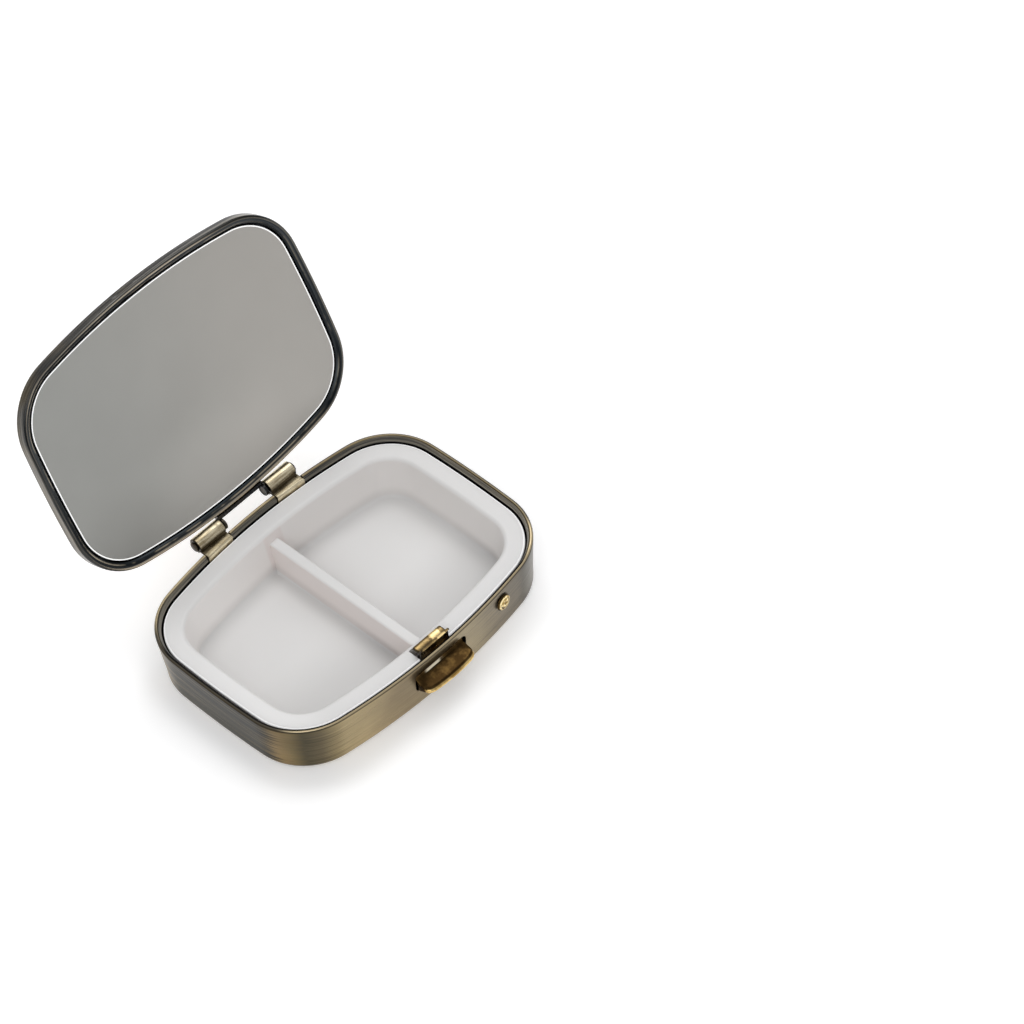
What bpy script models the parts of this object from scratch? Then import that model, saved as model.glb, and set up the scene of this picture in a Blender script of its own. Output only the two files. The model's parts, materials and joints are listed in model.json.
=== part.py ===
"""Rectangular pill box with a mirror lid, a two-cell tray and a push-button catch.

Frame: +X right along the long side, -Y towards the button, +Y towards the hinge, +Z up.
The origin is the middle of the base's underside. The lid stands open on its stop, and
turns about the hinge axis by LID_SWING to close. Lid pieces are drawn in the closed
position and then swung open by their parent empty.
"""
import math

import bmesh
import bpy
from mathutils import Matrix, Vector

MM = 0.001                      # every dimension below is in millimetres

# Outline in plan: a rectangle with bowed sides and round corners
HALF_LENGTH = 28.5
HALF_WIDTH = 20.9
LONG_BOW = 3.75                 # how far a long side bulges over its length
SHORT_BOW = 1.02
CORNER_RADIUS = 11.0
STEPS_LONG, STEPS_CORNER, STEPS_SHORT = 5, 6, 2

# Base shell
BASE_HEIGHT = 10.0
BASE_TAPER = 0.8                # the wall leans in by this much towards the floor
SHEET = 0.45
FLOOR_TOP = 0.6
BASE_ROLL = 0.75                # width of the rolled top edge

# Lid, in the closed position
LID_INSET = 0.25
LID_BOTTOM = 10.15
LID_ROLL = 1.05                 # inset of the inner side of the rolled edge
LID_DECK = 12.0                 # top of the flat deck that holds the picture
BAND_TOP = 12.35
BEZEL_INNER = 3.1
BEZEL_TOP = 13.4
LAYER_GAP = 0.12                # clearance between laminated layers
MIRROR_INSET = 1.84
MIRROR_BOTTOM, MIRROR_TOP = 10.7, 11.3

# Tray
TRAY_INSET = 1.34
TRAY_TOP = 9.0
TRAY_FLANGE = 0.9
CELL_INSET_TOP, CELL_INSET_FLOOR = 4.6, 6.0
CELL_FLOOR = 1.7
TRAY_UNDERSIDE = 0.85
TRAY_WALL = 1.0
DIVIDER_HALF = 0.95
DIVIDER_TOP = 7.0
NOTCH_HALF, NOTCH_REAR = 3.1, 16.95

# Hinge
HINGE_Y, HINGE_Z = 22.2, 10.35
LID_SWING = math.radians(113.5)
BARREL_RADIUS, BARREL_BORE = 1.3, 0.75
BARREL_NEAR, BARREL_FAR = 4.95, 10.35
PIN_RADIUS = 0.6
PIN_HEAD = 0.85
EAR_NEAR, EAR_FAR = 4.2, 4.75
EAR_RADIUS = 1.0

# Catch
WINDOW_HALF, WINDOW_LOW, WINDOW_HIGH, WINDOW_CORNER = 5.45, 3.7, 8.1, 1.1
BUTTON_HALF, BUTTON_REACH = 5.15, 2.2
HOOK_HALF = 2.7
CARRIER_LOW, CARRIER_TOP = 3.4, 7.9
BLADE_HALF = 0.95               # half the height of the leaf spring
RIVET_X, RIVET_Z = 14.1, 6.9
RIVET_SHANK, RIVET_HEAD, RIVET_TAIL = 0.65, 1.5, 0.95


def arc_radius(half, bow):
    """Radius of an arc that rises by bow over half its chord."""
    return (half * half + bow * bow) / (2 * bow)


LONG_RADIUS = arc_radius(HALF_LENGTH, LONG_BOW)
SHORT_RADIUS = arc_radius(HALF_WIDTH, SHORT_BOW)


def corner_centre():
    """Centre of the corner arc that is tangent to both bowed sides."""
    long_centre = Vector((0.0, HALF_WIDTH - LONG_RADIUS))
    short_centre = Vector((HALF_LENGTH - SHORT_RADIUS, 0.0))
    to_long, to_short = LONG_RADIUS - CORNER_RADIUS, SHORT_RADIUS - CORNER_RADIUS
    axis = short_centre - long_centre
    span = axis.length
    along = (span * span + to_long * to_long - to_short * to_short) / (2 * span)
    aside = math.sqrt(to_long * to_long - along * along)
    axis.normalize()
    normal = Vector((-axis.y, axis.x))
    choices = [long_centre + axis * along + normal * side * aside for side in (1, -1)]
    return max(choices, key=lambda point: point.x + point.y)


CORNER = corner_centre()
LONG_ANGLE = math.atan2(CORNER.y - (HALF_WIDTH - LONG_RADIUS), CORNER.x)
SHORT_ANGLE = math.atan2(CORNER.y, CORNER.x - (HALF_LENGTH - SHORT_RADIUS))


def arc(centre_x, centre_y, radius, start, end, steps):
    """Points on an arc, from start up to but not including end."""
    turns = [start + (end - start) * i / steps for i in range(steps)]
    return [(centre_x + radius * math.cos(t), centre_y + radius * math.sin(t)) for t in turns]


def outline(inset):
    """The outline moved inwards by inset, as points that run once round it."""
    short = arc(HALF_LENGTH - SHORT_RADIUS, 0, SHORT_RADIUS - inset, 0, SHORT_ANGLE, STEPS_SHORT)
    corner = arc(CORNER.x, CORNER.y, CORNER_RADIUS - inset, SHORT_ANGLE, LONG_ANGLE, STEPS_CORNER)
    side = arc(0, HALF_WIDTH - LONG_RADIUS, LONG_RADIUS - inset, LONG_ANGLE, math.pi / 2, STEPS_LONG)
    quarter = short + corner + side
    top = (0.0, HALF_WIDTH - inset)
    half = quarter + [top] + [(-x, y) for x, y in reversed(quarter[1:])]
    return half + [(-x, -y) for x, y in half]


def side_y(x, inset=0.0):
    """Distance from the middle line to a long side at x."""
    radius = LONG_RADIUS - inset
    return HALF_WIDTH - LONG_RADIUS + math.sqrt(radius * radius - x * x)


def material(name, colour, roughness, metallic, transmission=0.0):
    """A Principled material."""
    mat = bpy.data.materials.new(name)
    mat.use_nodes = True
    shader = mat.node_tree.nodes["Principled BSDF"]
    shader.inputs["Base Color"].default_value = (*colour, 1.0)
    shader.inputs["Roughness"].default_value = roughness
    shader.inputs["Metallic"].default_value = metallic
    shader.inputs["Transmission Weight"].default_value = transmission
    mat.diffuse_color = (*colour, 1.0)
    return mat


def make_object(name, bm, mat=None, parent=None):
    """Finish a mesh drawn in millimetres as a named object in metres."""
    bmesh.ops.recalc_face_normals(bm, faces=bm.faces)
    origin = parent.matrix_world.translation if parent else Vector()
    bmesh.ops.scale(bm, vec=(MM, MM, MM), verts=bm.verts)
    bmesh.ops.translate(bm, vec=-origin, verts=bm.verts)
    mesh = bpy.data.meshes.new(name)
    bm.to_mesh(mesh)
    bm.free()
    obj = bpy.data.objects.new(name, mesh)
    bpy.context.scene.collection.objects.link(obj)
    if mat:
        mesh.materials.append(mat)
        mesh.shade_smooth()
        mesh.set_sharp_from_angle(angle=math.radians(35))
    obj.parent = parent
    return obj


def loops_to_mesh(loops, closed):
    """Join equal loops of points by quads; close the chain, or cap both of its ends."""
    bm = bmesh.new()
    rings = [[bm.verts.new(point) for point in loop] for loop in loops]
    count = len(rings[0])
    pairs = list(zip(rings, rings[1:]))
    if closed:
        pairs.append((rings[-1], rings[0]))
    for low, high in pairs:
        for i in range(count):
            j = (i + 1) % count
            bm.faces.new((low[i], low[j], high[j], high[i]))
    if not closed:
        bm.faces.new(rings[0])
        bm.faces.new(rings[-1])
    return bm


def shell(profile, closed=False):
    """Carry a profile of (inset, z) round the outline."""
    return loops_to_mesh([[(x, y, z) for x, y in outline(inset)] for inset, z in profile], closed)


def plate(inset, low, high):
    """A flat plate inside the outline."""
    return shell([(inset, low), (inset, high)])


def strip(section, xs):
    """Carry a section along X; section(x) gives its (y, z) points at x."""
    return loops_to_mesh([[(x, y, z) for y, z in section(x)] for x in xs], False)


def spaced(start, end, steps):
    """Evenly spaced numbers that include both ends."""
    return [start + (end - start) * i / steps for i in range(steps + 1)]


def turned(profile, steps=20):
    """Turn a profile of (radius, height) about Z; it starts and ends on the axis."""
    bm = bmesh.new()
    points = [bm.verts.new((radius, 0.0, height)) for radius, height in profile]
    edges = [bm.edges.new(pair) for pair in zip(points, points[1:])]
    bmesh.ops.spin(bm, geom=points + edges, cent=(0, 0, 0), axis=(0, 0, 1),
                   angle=math.tau, steps=steps, use_merge=True)
    bmesh.ops.remove_doubles(bm, verts=bm.verts, dist=1e-5)
    return bm


def box(low, high):
    """A block between two corners."""
    bm = bmesh.new()
    bmesh.ops.create_cube(bm, size=1.0)
    middle = [(a + b) / 2 for a, b in zip(low, high)]
    size = [b - a for a, b in zip(low, high)]
    bmesh.ops.scale(bm, vec=size, verts=bm.verts)
    bmesh.ops.translate(bm, vec=middle, verts=bm.verts)
    return bm


def rounded_window(half, low, high, radius, front, rear):
    """A block along Y whose section is a rectangle with round corners."""
    points = []
    for sx, sz, start in ((1, 1, 0), (-1, 1, 1), (-1, -1, 2), (1, -1, 3)):
        centre_x = sx * (half - radius)
        centre_z = (low + radius) if sz < 0 else (high - radius)
        for i in range(5):
            turn = (start + i / 4) * math.pi / 2
            points.append((centre_x + radius * math.cos(turn), centre_z + radius * math.sin(turn)))
    return loops_to_mesh([[(x, y, z) for x, z in points] for y in (front, rear)], False)


def helper(name, bm):
    """A shape used only by a Boolean."""
    obj = make_object(name, bm)
    obj.hide_render = True
    obj.display_type = "WIRE"
    return obj


def boolean(obj, other, operation):
    """Cut or join with another shape."""
    modifier = obj.modifiers.new(other.name, "BOOLEAN")
    modifier.operation = operation
    modifier.object = other


def front_normal_frame(x, z, inset):
    """Matrix, in millimetres, of a frame on the front wall whose Z points out of the wall."""
    tilt = math.asin(x / LONG_RADIUS)
    place = Matrix.Translation((x, -side_y(x, inset), z))
    return place @ Matrix.Rotation(tilt, 4, "Z") @ Matrix.Rotation(math.pi / 2, 4, "X")


def base_shell(mat):
    """The pressed lower shell, with the button's window, the rivet hole and the hinge notches."""
    lower = BASE_TAPER
    profile = [(lower + 1.1, 0.0), (lower + 0.55, 0.15), (lower + 0.15, 0.55), (lower - 0.08, 1.1),
               (0.0, BASE_HEIGHT - 0.45), (0.03, BASE_HEIGHT - 0.18), (0.18, BASE_HEIGHT - 0.03),
               (0.4, BASE_HEIGHT), (BASE_ROLL - 0.15, BASE_HEIGHT - 0.06),
               (BASE_ROLL, BASE_HEIGHT - 0.25), (BASE_ROLL - 0.05, BASE_HEIGHT - 0.5),
               (SHEET + 0.05, BASE_HEIGHT - 0.7),
               (lower + SHEET, 1.3), (lower + SHEET + 0.5, FLOOR_TOP + 0.1),
               (lower + SHEET + 1.0, FLOOR_TOP)]
    shell_obj = make_object("base_shell", shell(profile), mat)
    window = rounded_window(WINDOW_HALF, WINDOW_LOW, WINDOW_HIGH, WINDOW_CORNER, -23, -18)
    boolean(shell_obj, helper("window_cutter", window), "DIFFERENCE")
    hole = turned([(0, -2), (RIVET_SHANK + 0.2, -2), (RIVET_SHANK + 0.2, 2), (0, 2)], 16)
    bmesh.ops.transform(hole, matrix=front_normal_frame(RIVET_X, RIVET_Z, 0.5), verts=hole.verts)
    boolean(shell_obj, helper("rivet_hole_cutter", hole), "DIFFERENCE")
    for side, word in ((-1, "left"), (1, "right")):
        ends = sorted((side * (BARREL_NEAR - 0.15), side * (BARREL_FAR + 0.15)))
        notch = box((ends[0], 19.0, BASE_HEIGHT - 0.55), (ends[1], 22.0, BASE_HEIGHT + 1))
        boolean(shell_obj, helper(f"hinge_notch_cutter_{word}", notch), "DIFFERENCE")


def pill_tray(mat):
    """The moulded liner: a flange, two cells with a low divider, and a notch for the catch."""
    profile = [(CELL_INSET_FLOOR - TRAY_WALL + 0.6, TRAY_UNDERSIDE),
               (CELL_INSET_FLOOR - TRAY_WALL + 0.1, TRAY_UNDERSIDE + 0.4),
               (CELL_INSET_TOP - TRAY_WALL, TRAY_TOP - TRAY_FLANGE),
               (TRAY_INSET, TRAY_TOP - TRAY_FLANGE),
               (TRAY_INSET, TRAY_TOP - 0.2), (TRAY_INSET + 0.2, TRAY_TOP),
               (CELL_INSET_TOP - 0.35, TRAY_TOP), (CELL_INSET_TOP, TRAY_TOP - 0.35),
               (CELL_INSET_FLOOR - 0.2, CELL_FLOOR + 0.6), (CELL_INSET_FLOOR + 0.4, CELL_FLOOR)]
    tray = make_object("pill_tray", shell(profile), mat)
    end = HALF_WIDTH - CELL_INSET_TOP + 0.3
    wall = box((-DIVIDER_HALF, -end, CELL_FLOOR - 0.3), (DIVIDER_HALF, end, DIVIDER_TOP))
    boolean(tray, helper("divider_wall", wall), "UNION")
    notch = box((-NOTCH_HALF, -21, TRAY_TOP - TRAY_FLANGE - 1), (NOTCH_HALF, -NOTCH_REAR, TRAY_TOP + 1))
    boolean(tray, helper("catch_notch_cutter", notch), "DIFFERENCE")


def circle_points(radius, start, end, steps):
    """(y, z) points on a circle about the hinge axis."""
    return [(HINGE_Y + radius * math.cos(t), HINGE_Z + radius * math.sin(t))
            for t in spaced(start, end, steps)]


def hinge_barrel(word, side, mat):
    """A strip curled round the pin, laid through the notch and bent down inside the wall."""
    outer = circle_points(BARREL_RADIUS, math.radians(-100), math.radians(205), 16)
    inner = circle_points(BARREL_BORE, math.radians(205), math.radians(-118), 16)
    strap_low, strap_high = BASE_HEIGHT - 0.4, BASE_HEIGHT - 0.08
    flange_out, flange_in, flange_end = 0.87, 1.14, BASE_HEIGHT - 1.6

    def section(x):
        rear = side_y(x)
        strap = [(HINGE_Y - 0.85, strap_high), (rear - flange_in, strap_high),
                 (rear - flange_in, flange_end), (rear - flange_out, flange_end),
                 (rear - flange_out, strap_low), (HINGE_Y - 0.9, strap_low),
                 (HINGE_Y - 0.5, HINGE_Z - BARREL_RADIUS + 0.08)]
        return outer + inner + strap

    xs = spaced(side * BARREL_NEAR, side * BARREL_FAR, 4)
    make_object(f"hinge_barrel_{word}", strip(section, xs), mat)


def hinge_pin(word, side, mat):
    """A short pin through one ear and one barrel, with a round head at its outer end."""
    start, end = EAR_NEAR + 0.05, BARREL_FAR + 0.15
    pin = turned([(0, start), (PIN_RADIUS, start), (PIN_RADIUS, end), (PIN_HEAD, end),
                  (PIN_HEAD, end + 0.3), (PIN_HEAD - 0.3, end + 0.5), (0, end + 0.5)], 16)
    place = Matrix.Translation((0, HINGE_Y, HINGE_Z)) @ Matrix.Rotation(side * math.pi / 2, 4, "Y")
    bmesh.ops.transform(pin, matrix=place, verts=pin.verts)
    make_object(f"hinge_pin_{word}", pin, mat)


def lid_hinge_leaf(mat, hinge):
    """The lid's strip between the barrels, with an ear on the pin at each end."""
    gap = 0.12

    def section(x):
        face = side_y(x, LID_INSET) + gap
        return [(face, LID_BOTTOM + 0.1), (21.35, LID_BOTTOM + 0.1), (21.35, 11.3), (face, 11.6)]

    leaf = make_object("lid_hinge_leaf", strip(section, spaced(-EAR_FAR, EAR_FAR, 4)), mat, hinge)
    for side, word in ((-1, "left"), (1, "right")):
        ear = turned([(0, EAR_NEAR), (EAR_RADIUS, EAR_NEAR), (EAR_RADIUS, EAR_FAR - 0.01),
                      (0, EAR_FAR - 0.01)], 20)
        bore = turned([(0, 3), (PIN_RADIUS + 0.1, 3), (PIN_RADIUS + 0.1, 6), (0, 6)], 16)
        turn = Matrix.Rotation(side * math.pi / 2, 4, "Y")
        place = Matrix.Translation((0, HINGE_Y, HINGE_Z)) @ turn
        for shape in (ear, bore):
            bmesh.ops.transform(shape, matrix=place, verts=shape.verts)
        ear_obj = helper(f"hinge_ear_{word}", ear)
        bore_obj = helper(f"ear_bore_cutter_{word}", bore)
        for tool in (ear_obj, bore_obj):
            tool.data.transform(Matrix.Translation(-hinge.matrix_world.translation))
            tool.parent = hinge
        boolean(leaf, ear_obj, "UNION")
        boolean(leaf, bore_obj, "DIFFERENCE")


def lid_shell(mat, hinge):
    """The pressed lid: a rolled lower edge, an upright band and a deck for the picture."""
    profile = [(LID_INSET + 0.2, LID_BOTTOM), (LID_INSET + 0.03, LID_BOTTOM + 0.15),
               (LID_INSET, LID_BOTTOM + 0.35), (LID_INSET, BAND_TOP - 0.3),
               (LID_INSET + 0.07, BAND_TOP - 0.08), (LID_INSET + 0.25, BAND_TOP),
               (LID_INSET + 0.5, BAND_TOP - 0.04), (LID_INSET + 0.65, LID_DECK),
               (BEZEL_INNER + 2, LID_DECK)]
    under = [(BEZEL_INNER + 2, LID_DECK - SHEET), (LID_INSET + SHEET + 0.25, LID_DECK - SHEET),
             (LID_INSET + SHEET, LID_DECK - SHEET - 0.25), (LID_INSET + SHEET, LID_BOTTOM + 0.8),
             (LID_ROLL - 0.05, LID_BOTTOM + 0.62), (LID_ROLL, LID_BOTTOM + 0.4),
             (LID_ROLL - 0.1, LID_BOTTOM + 0.12), (LID_ROLL - 0.3, LID_BOTTOM)]
    # the chain starts on the underside of the deck and ends on its top, and both ends are capped
    make_object("lid_shell", shell(under + profile), mat, hinge)


def bezel_ring(mat, hinge):
    """The raised round ring that frames the picture."""
    low = LID_DECK + LAYER_GAP
    profile = [(1.2, low), (0.98, low + 0.25), (0.93, low + 0.5), (1.03, low + 0.85),
               (1.3, low + 1.12), (1.7, BEZEL_TOP), (2.1, BEZEL_TOP - 0.07),
               (2.45, BEZEL_TOP - 0.32), (2.85, low + 0.55), (BEZEL_INNER, low + 0.3),
               (BEZEL_INNER, low)]
    make_object("bezel_ring", shell(profile, closed=True), mat, hinge)


def lid_layers(mats, hinge):
    """The picture, its clear cover, the mirror and the film and pad that hold them."""
    inset = BEZEL_INNER + LAYER_GAP
    low = LID_DECK + 0.08
    make_object("map_print", plate(inset, low, low + 0.15), mats["paper"], hinge)
    cover = [(inset, low + 0.23), (inset, low + 0.45), (inset + 0.15, low + 0.62),
             (inset + 0.6, low + 0.74), (inset + 2.0, low + 0.82)]
    make_object("clear_cover", shell(cover), mats["clear"], hinge)
    make_object("mirror", shell([(MIRROR_INSET + 0.2, MIRROR_BOTTOM),
                                 (MIRROR_INSET, MIRROR_BOTTOM + 0.2),
                                 (MIRROR_INSET, MIRROR_TOP)]), mats["mirror"], hinge)
    make_object("mirror_pad", plate(5.0, MIRROR_TOP + 0.06, LID_DECK - SHEET - 0.06),
                mats["foam"], hinge)


def push_button(mat, latch):
    """The thumb piece: a sloping ledge with a rounded front edge, reaching out of the window."""
    steps = spaced(-BUTTON_HALF, BUTTON_HALF, 12)
    corner = 1.3

    def reach(x):
        past = max(0.0, abs(x) - (BUTTON_HALF - corner)) / corner
        return BUTTON_REACH * (1 - 0.25 * past * past) + 0.3 * (1 - (x / BUTTON_HALF) ** 2)

    def section(x):
        wall = -side_y(x)
        tip = wall - reach(x)
        back = -side_y(0) + 1.15
        return [(back, 4.2), (back, 7.0), (wall + 0.3, 6.95), (tip + 0.75, 6.0),
                (tip + 0.2, 5.65), (tip, 5.4), (tip, 5.15), (tip + 0.15, 4.95),
                (tip + 0.5, 4.8), (wall, 4.2)]

    make_object("push_button", strip(section, steps), mat, latch)


def catch_plate(mat, latch):
    """The plate behind the wall that carries the button, with the hook bent from its top."""
    front = HALF_WIDTH - 1.3
    rear = front - 0.35

    def hook(_):
        return [(-front, 5.0), (-front, 10.4), (-front - 0.12, 10.85), (-front - 0.4, 10.98),
                (-front - 0.43, 11.1), (-front - 0.2, 11.25), (-front, 11.22),
                (-front - 0.08, 10.9), (-rear, 10.5), (-rear + 0.3, 10.36),
                (-17.85, 10.3), (-17.7, 10.18), (-17.75, 9.98), (-rear + 0.25, 10.02),
                (-rear, 9.85), (-rear, 5.0)]

    plate_obj = make_object("catch_plate", strip(hook, [-HOOK_HALF, HOOK_HALF]), mat, latch)
    carrier = box((-5.3, -front + 0.02, CARRIER_LOW), (8.4, -rear - 0.02, CARRIER_TOP))
    carrier_obj = helper("carrier_plate", carrier)
    boolean(plate_obj, carrier_obj, "UNION")
    hole = turned([(0, -1), (0.6, -1), (0.6, 1), (0, 1)], 12)
    place = Matrix.Translation((7.0, -front, RIVET_Z)) @ Matrix.Rotation(math.pi / 2, 4, "X")
    bmesh.ops.transform(hole, matrix=place, verts=hole.verts)
    boolean(plate_obj, helper("blade_rivet_cutter", hole), "DIFFERENCE")
    for tool in (carrier_obj, bpy.data.objects["blade_rivet_cutter"]):
        tool.data.transform(Matrix.Translation(-latch.matrix_world.translation))
        tool.parent = latch


def latch_spring(mat):
    """The leaf spring: riveted to the wall at one end, carrying the catch plate at the other."""
    def section(x):
        share = min(1.0, max(0.0, (x - 8.8) / (RIVET_X - 2.2 - 8.8)))
        seat = -side_y(x) + 1.0
        carried = -(HALF_WIDTH - 1.3) + 0.35 + 0.12
        front = carried * (1 - share) + seat * share
        return [(front, RIVET_Z - BLADE_HALF), (front + 0.25, RIVET_Z - BLADE_HALF),
                (front + 0.25, RIVET_Z + BLADE_HALF), (front, RIVET_Z + BLADE_HALF)]

    xs = spaced(5.9, 8.2, 2) + spaced(8.8, RIVET_X - 2.2, 4) + spaced(RIVET_X - 1.8, RIVET_X + 1.9, 4)
    blade = make_object("latch_spring", strip(section, xs), mat)
    wall_hole = turned([(0, -1), (RIVET_SHANK + 0.12, -1), (RIVET_SHANK + 0.12, 1), (0, 1)], 12)
    bmesh.ops.transform(wall_hole, matrix=front_normal_frame(RIVET_X, RIVET_Z, 1.1),
                        verts=wall_hole.verts)
    end_hole = turned([(0, -1), (0.6, -1), (0.6, 1), (0, 1)], 12)
    place = Matrix.Translation((7.0, -(HALF_WIDTH - 1.3), RIVET_Z)) @ Matrix.Rotation(math.pi / 2, 4, "X")
    bmesh.ops.transform(end_hole, matrix=place, verts=end_hole.verts)
    boolean(blade, helper("spring_wall_hole_cutter", wall_hole), "DIFFERENCE")
    boolean(blade, helper("spring_end_hole_cutter", end_hole), "DIFFERENCE")


def rivets(mat, latch):
    """The rivet through the wall, and the small one between the spring and the catch plate."""
    wall_face = 0.5
    profile = [(0, -1.55), (RIVET_TAIL, -1.55), (RIVET_TAIL, -1.3), (RIVET_SHANK, -1.3), (RIVET_SHANK, 0.42),
               (RIVET_HEAD, 0.42), (RIVET_HEAD, 0.62), (RIVET_HEAD - 0.25, 0.85),
               (0.75, 0.92), (0.55, 0.75), (0, 0.75)]
    rivet = turned(profile, 24)
    bmesh.ops.transform(rivet, matrix=front_normal_frame(RIVET_X, RIVET_Z, wall_face),
                        verts=rivet.verts)
    make_object("spring_rivet", rivet, mat)
    small = turned([(0, -1.0), (0.8, -1.0), (0.8, -0.77), (0.45, -0.77), (0.45, 0.05),
                    (0.8, 0.05), (0.7, 0.23), (0, 0.23)], 12)
    place = Matrix.Translation((7.0, -(HALF_WIDTH - 1.3), RIVET_Z)) @ Matrix.Rotation(math.pi / 2, 4, "X")
    bmesh.ops.transform(small, matrix=place, verts=small.verts)
    make_object("blade_rivet", small, mat, latch)


def empty(name, place):
    """An empty at a point given in millimetres."""
    obj = bpy.data.objects.new(name, None)
    obj.location = Vector(place) * MM
    bpy.context.scene.collection.objects.link(obj)
    return obj


def main():
    """Build the pill box."""
    for obj in list(bpy.data.objects):
        bpy.data.objects.remove(obj)
    mats = {
        "shell": material("antique_bronze", (0.19, 0.165, 0.12), 0.34, 1.0),
        "lid": material("lid_bronze", (0.2, 0.185, 0.15), 0.3, 1.0),
        "bezel": material("bezel_brass", (0.38, 0.31, 0.19), 0.28, 1.0),
        "brass": material("aged_brass", (0.42, 0.31, 0.13), 0.3, 1.0),
        "hinge": material("hinge_brass", (0.5, 0.41, 0.26), 0.32, 1.0),
        "steel": material("pin_steel", (0.2, 0.2, 0.2), 0.3, 1.0),
        "plastic": material("white_plastic", (0.82, 0.81, 0.8), 0.42, 0.0),
        "mirror": material("mirror_glass", (0.8, 0.8, 0.8), 0.03, 1.0),
        "paper": material("printed_paper", (0.82, 0.77, 0.68), 0.6, 0.0),
        "clear": material("clear_resin", (0.95, 0.95, 0.95), 0.06, 0.0, 1.0),
        "foam": material("adhesive_foam", (0.85, 0.85, 0.83), 0.8, 0.0),
    }
    hinge = empty("lid_hinge_axis", (0, HINGE_Y, HINGE_Z))
    latch = empty("latch_axis", (0, -HALF_WIDTH, RIVET_Z))
    bpy.context.view_layer.update()
    base_shell(mats["shell"])
    pill_tray(mats["plastic"])
    for word, side in (("left", -1), ("right", 1)):
        hinge_barrel(word, side, mats["hinge"])
        hinge_pin(word, side, mats["steel"])
    lid_hinge_leaf(mats["lid"], hinge)
    lid_shell(mats["lid"], hinge)
    bezel_ring(mats["bezel"], hinge)
    lid_layers(mats, hinge)
    push_button(mats["brass"], latch)
    catch_plate(mats["brass"], latch)
    latch_spring(mats["brass"])
    rivets(mats["brass"], latch)
    hinge.rotation_euler.x = -LID_SWING


main()
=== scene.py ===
"""Looks of the mirror-lid pill box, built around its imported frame.

Pieces are drawn in millimetres, in the frame's own axes. Lid pieces are drawn with the lid
closed and then turned about the hinge to where the frame has it standing, which is open.
Every mesh carries a UV map in millimetres, whose two directions are the running lengths along
the outline and along the section.
"""
import json
import math

import bmesh
import bpy
from mathutils import Matrix, Vector

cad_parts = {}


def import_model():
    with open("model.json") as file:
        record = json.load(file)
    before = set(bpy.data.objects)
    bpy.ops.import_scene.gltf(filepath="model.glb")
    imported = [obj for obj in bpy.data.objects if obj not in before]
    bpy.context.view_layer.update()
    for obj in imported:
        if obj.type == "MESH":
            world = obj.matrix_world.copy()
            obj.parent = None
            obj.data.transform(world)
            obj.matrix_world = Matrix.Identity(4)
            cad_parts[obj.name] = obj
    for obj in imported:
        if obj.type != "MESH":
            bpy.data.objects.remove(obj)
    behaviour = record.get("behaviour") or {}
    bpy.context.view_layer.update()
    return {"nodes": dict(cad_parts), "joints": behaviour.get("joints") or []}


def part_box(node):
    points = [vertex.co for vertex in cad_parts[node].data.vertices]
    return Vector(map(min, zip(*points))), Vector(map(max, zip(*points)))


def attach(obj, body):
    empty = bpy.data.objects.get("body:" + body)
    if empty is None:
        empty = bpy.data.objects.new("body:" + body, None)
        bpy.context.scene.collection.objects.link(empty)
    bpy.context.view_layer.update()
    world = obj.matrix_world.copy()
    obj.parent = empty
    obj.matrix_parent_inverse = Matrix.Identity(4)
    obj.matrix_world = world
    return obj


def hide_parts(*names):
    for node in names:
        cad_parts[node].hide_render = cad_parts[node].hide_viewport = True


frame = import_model()

MM = 0.001


def corners(node):
    """Lowest and highest corner of a CAD node, in millimetres."""
    low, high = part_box(node)
    return low / MM, high / MM


# Driving sizes, from the frame
HALF_LENGTH, HALF_WIDTH, BASE_HEIGHT = corners("base_shell")[1]
TRAY_TOP = corners("pill_tray")[1].z
TRAY_INSET, LID_INSET, BEZEL_OUTER, MIRROR_INSET, PRINT_INSET = [
    HALF_LENGTH - corners(node)[1].x
    for node in ("pill_tray", "lid_shell", "bezel_ring", "mirror", "map_print")]
BARREL_LOW, BARREL_HIGH = corners("hinge_barrel_right")
BUTTON_HALF = corners("push_button")[1].x
HINGE = next(joint for joint in frame["joints"] if joint["name"] == "lid_hinge")
HINGE_Y, HINGE_Z = HINGE["pos_m"][1] / MM, HINGE["pos_m"][2] / MM
SWING = math.radians(HINGE["range_deg"][1])

# Outline in plan: bowed sides and round corners
LONG_BOW, SHORT_BOW, CORNER_RADIUS = 3.75, 1.02, 11.0
LONG_STEPS, BUTTON_STEPS, CORNER_STEPS, SHORT_STEPS = 14, 20, 18, 8
BUTTON_ZONE = 6.5               # the long side has finer steps within this of its middle

# Base and tray
BASE_TAPER, SHEET, FLOOR_TOP, FOOT_RADIUS = 0.8, 0.45, 0.6, 1.15
LIP_RADIUS, LIP_FOLD = 0.375, 1.04
CELL_TOP, CELL_FLOOR, TRAY_UNDERSIDE, TRAY_FLANGE, TRAY_WALL = 4.686, 1.7, 0.85, 0.9, 1.0
CELL_ROUND, CELL_FILLET = 0.8, 0.8
CELL_SLOPE = math.radians(10.7)
DIVIDER_HALF, DIVIDER_TOP = 0.95, 7.0
NOTCH_HALF, NOTCH_REAR = 3.1, 16.95

# Lid, closed
LID_BOTTOM, LID_DECK, BAND_TOP = 10.15, 12.0, 12.35
ROLL_RADIUS, LID_FOLD = 0.4, 1.68
BEZEL_TOP, BEZEL_INNER, LAYER_GAP = 13.4, 3.1, 0.12
MIRROR_BOTTOM, MIRROR_TOP = 10.7, 11.3
PRINT_TOP, COVER_BOTTOM, COVER_TOP = 12.23, 12.31, 12.9

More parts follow.
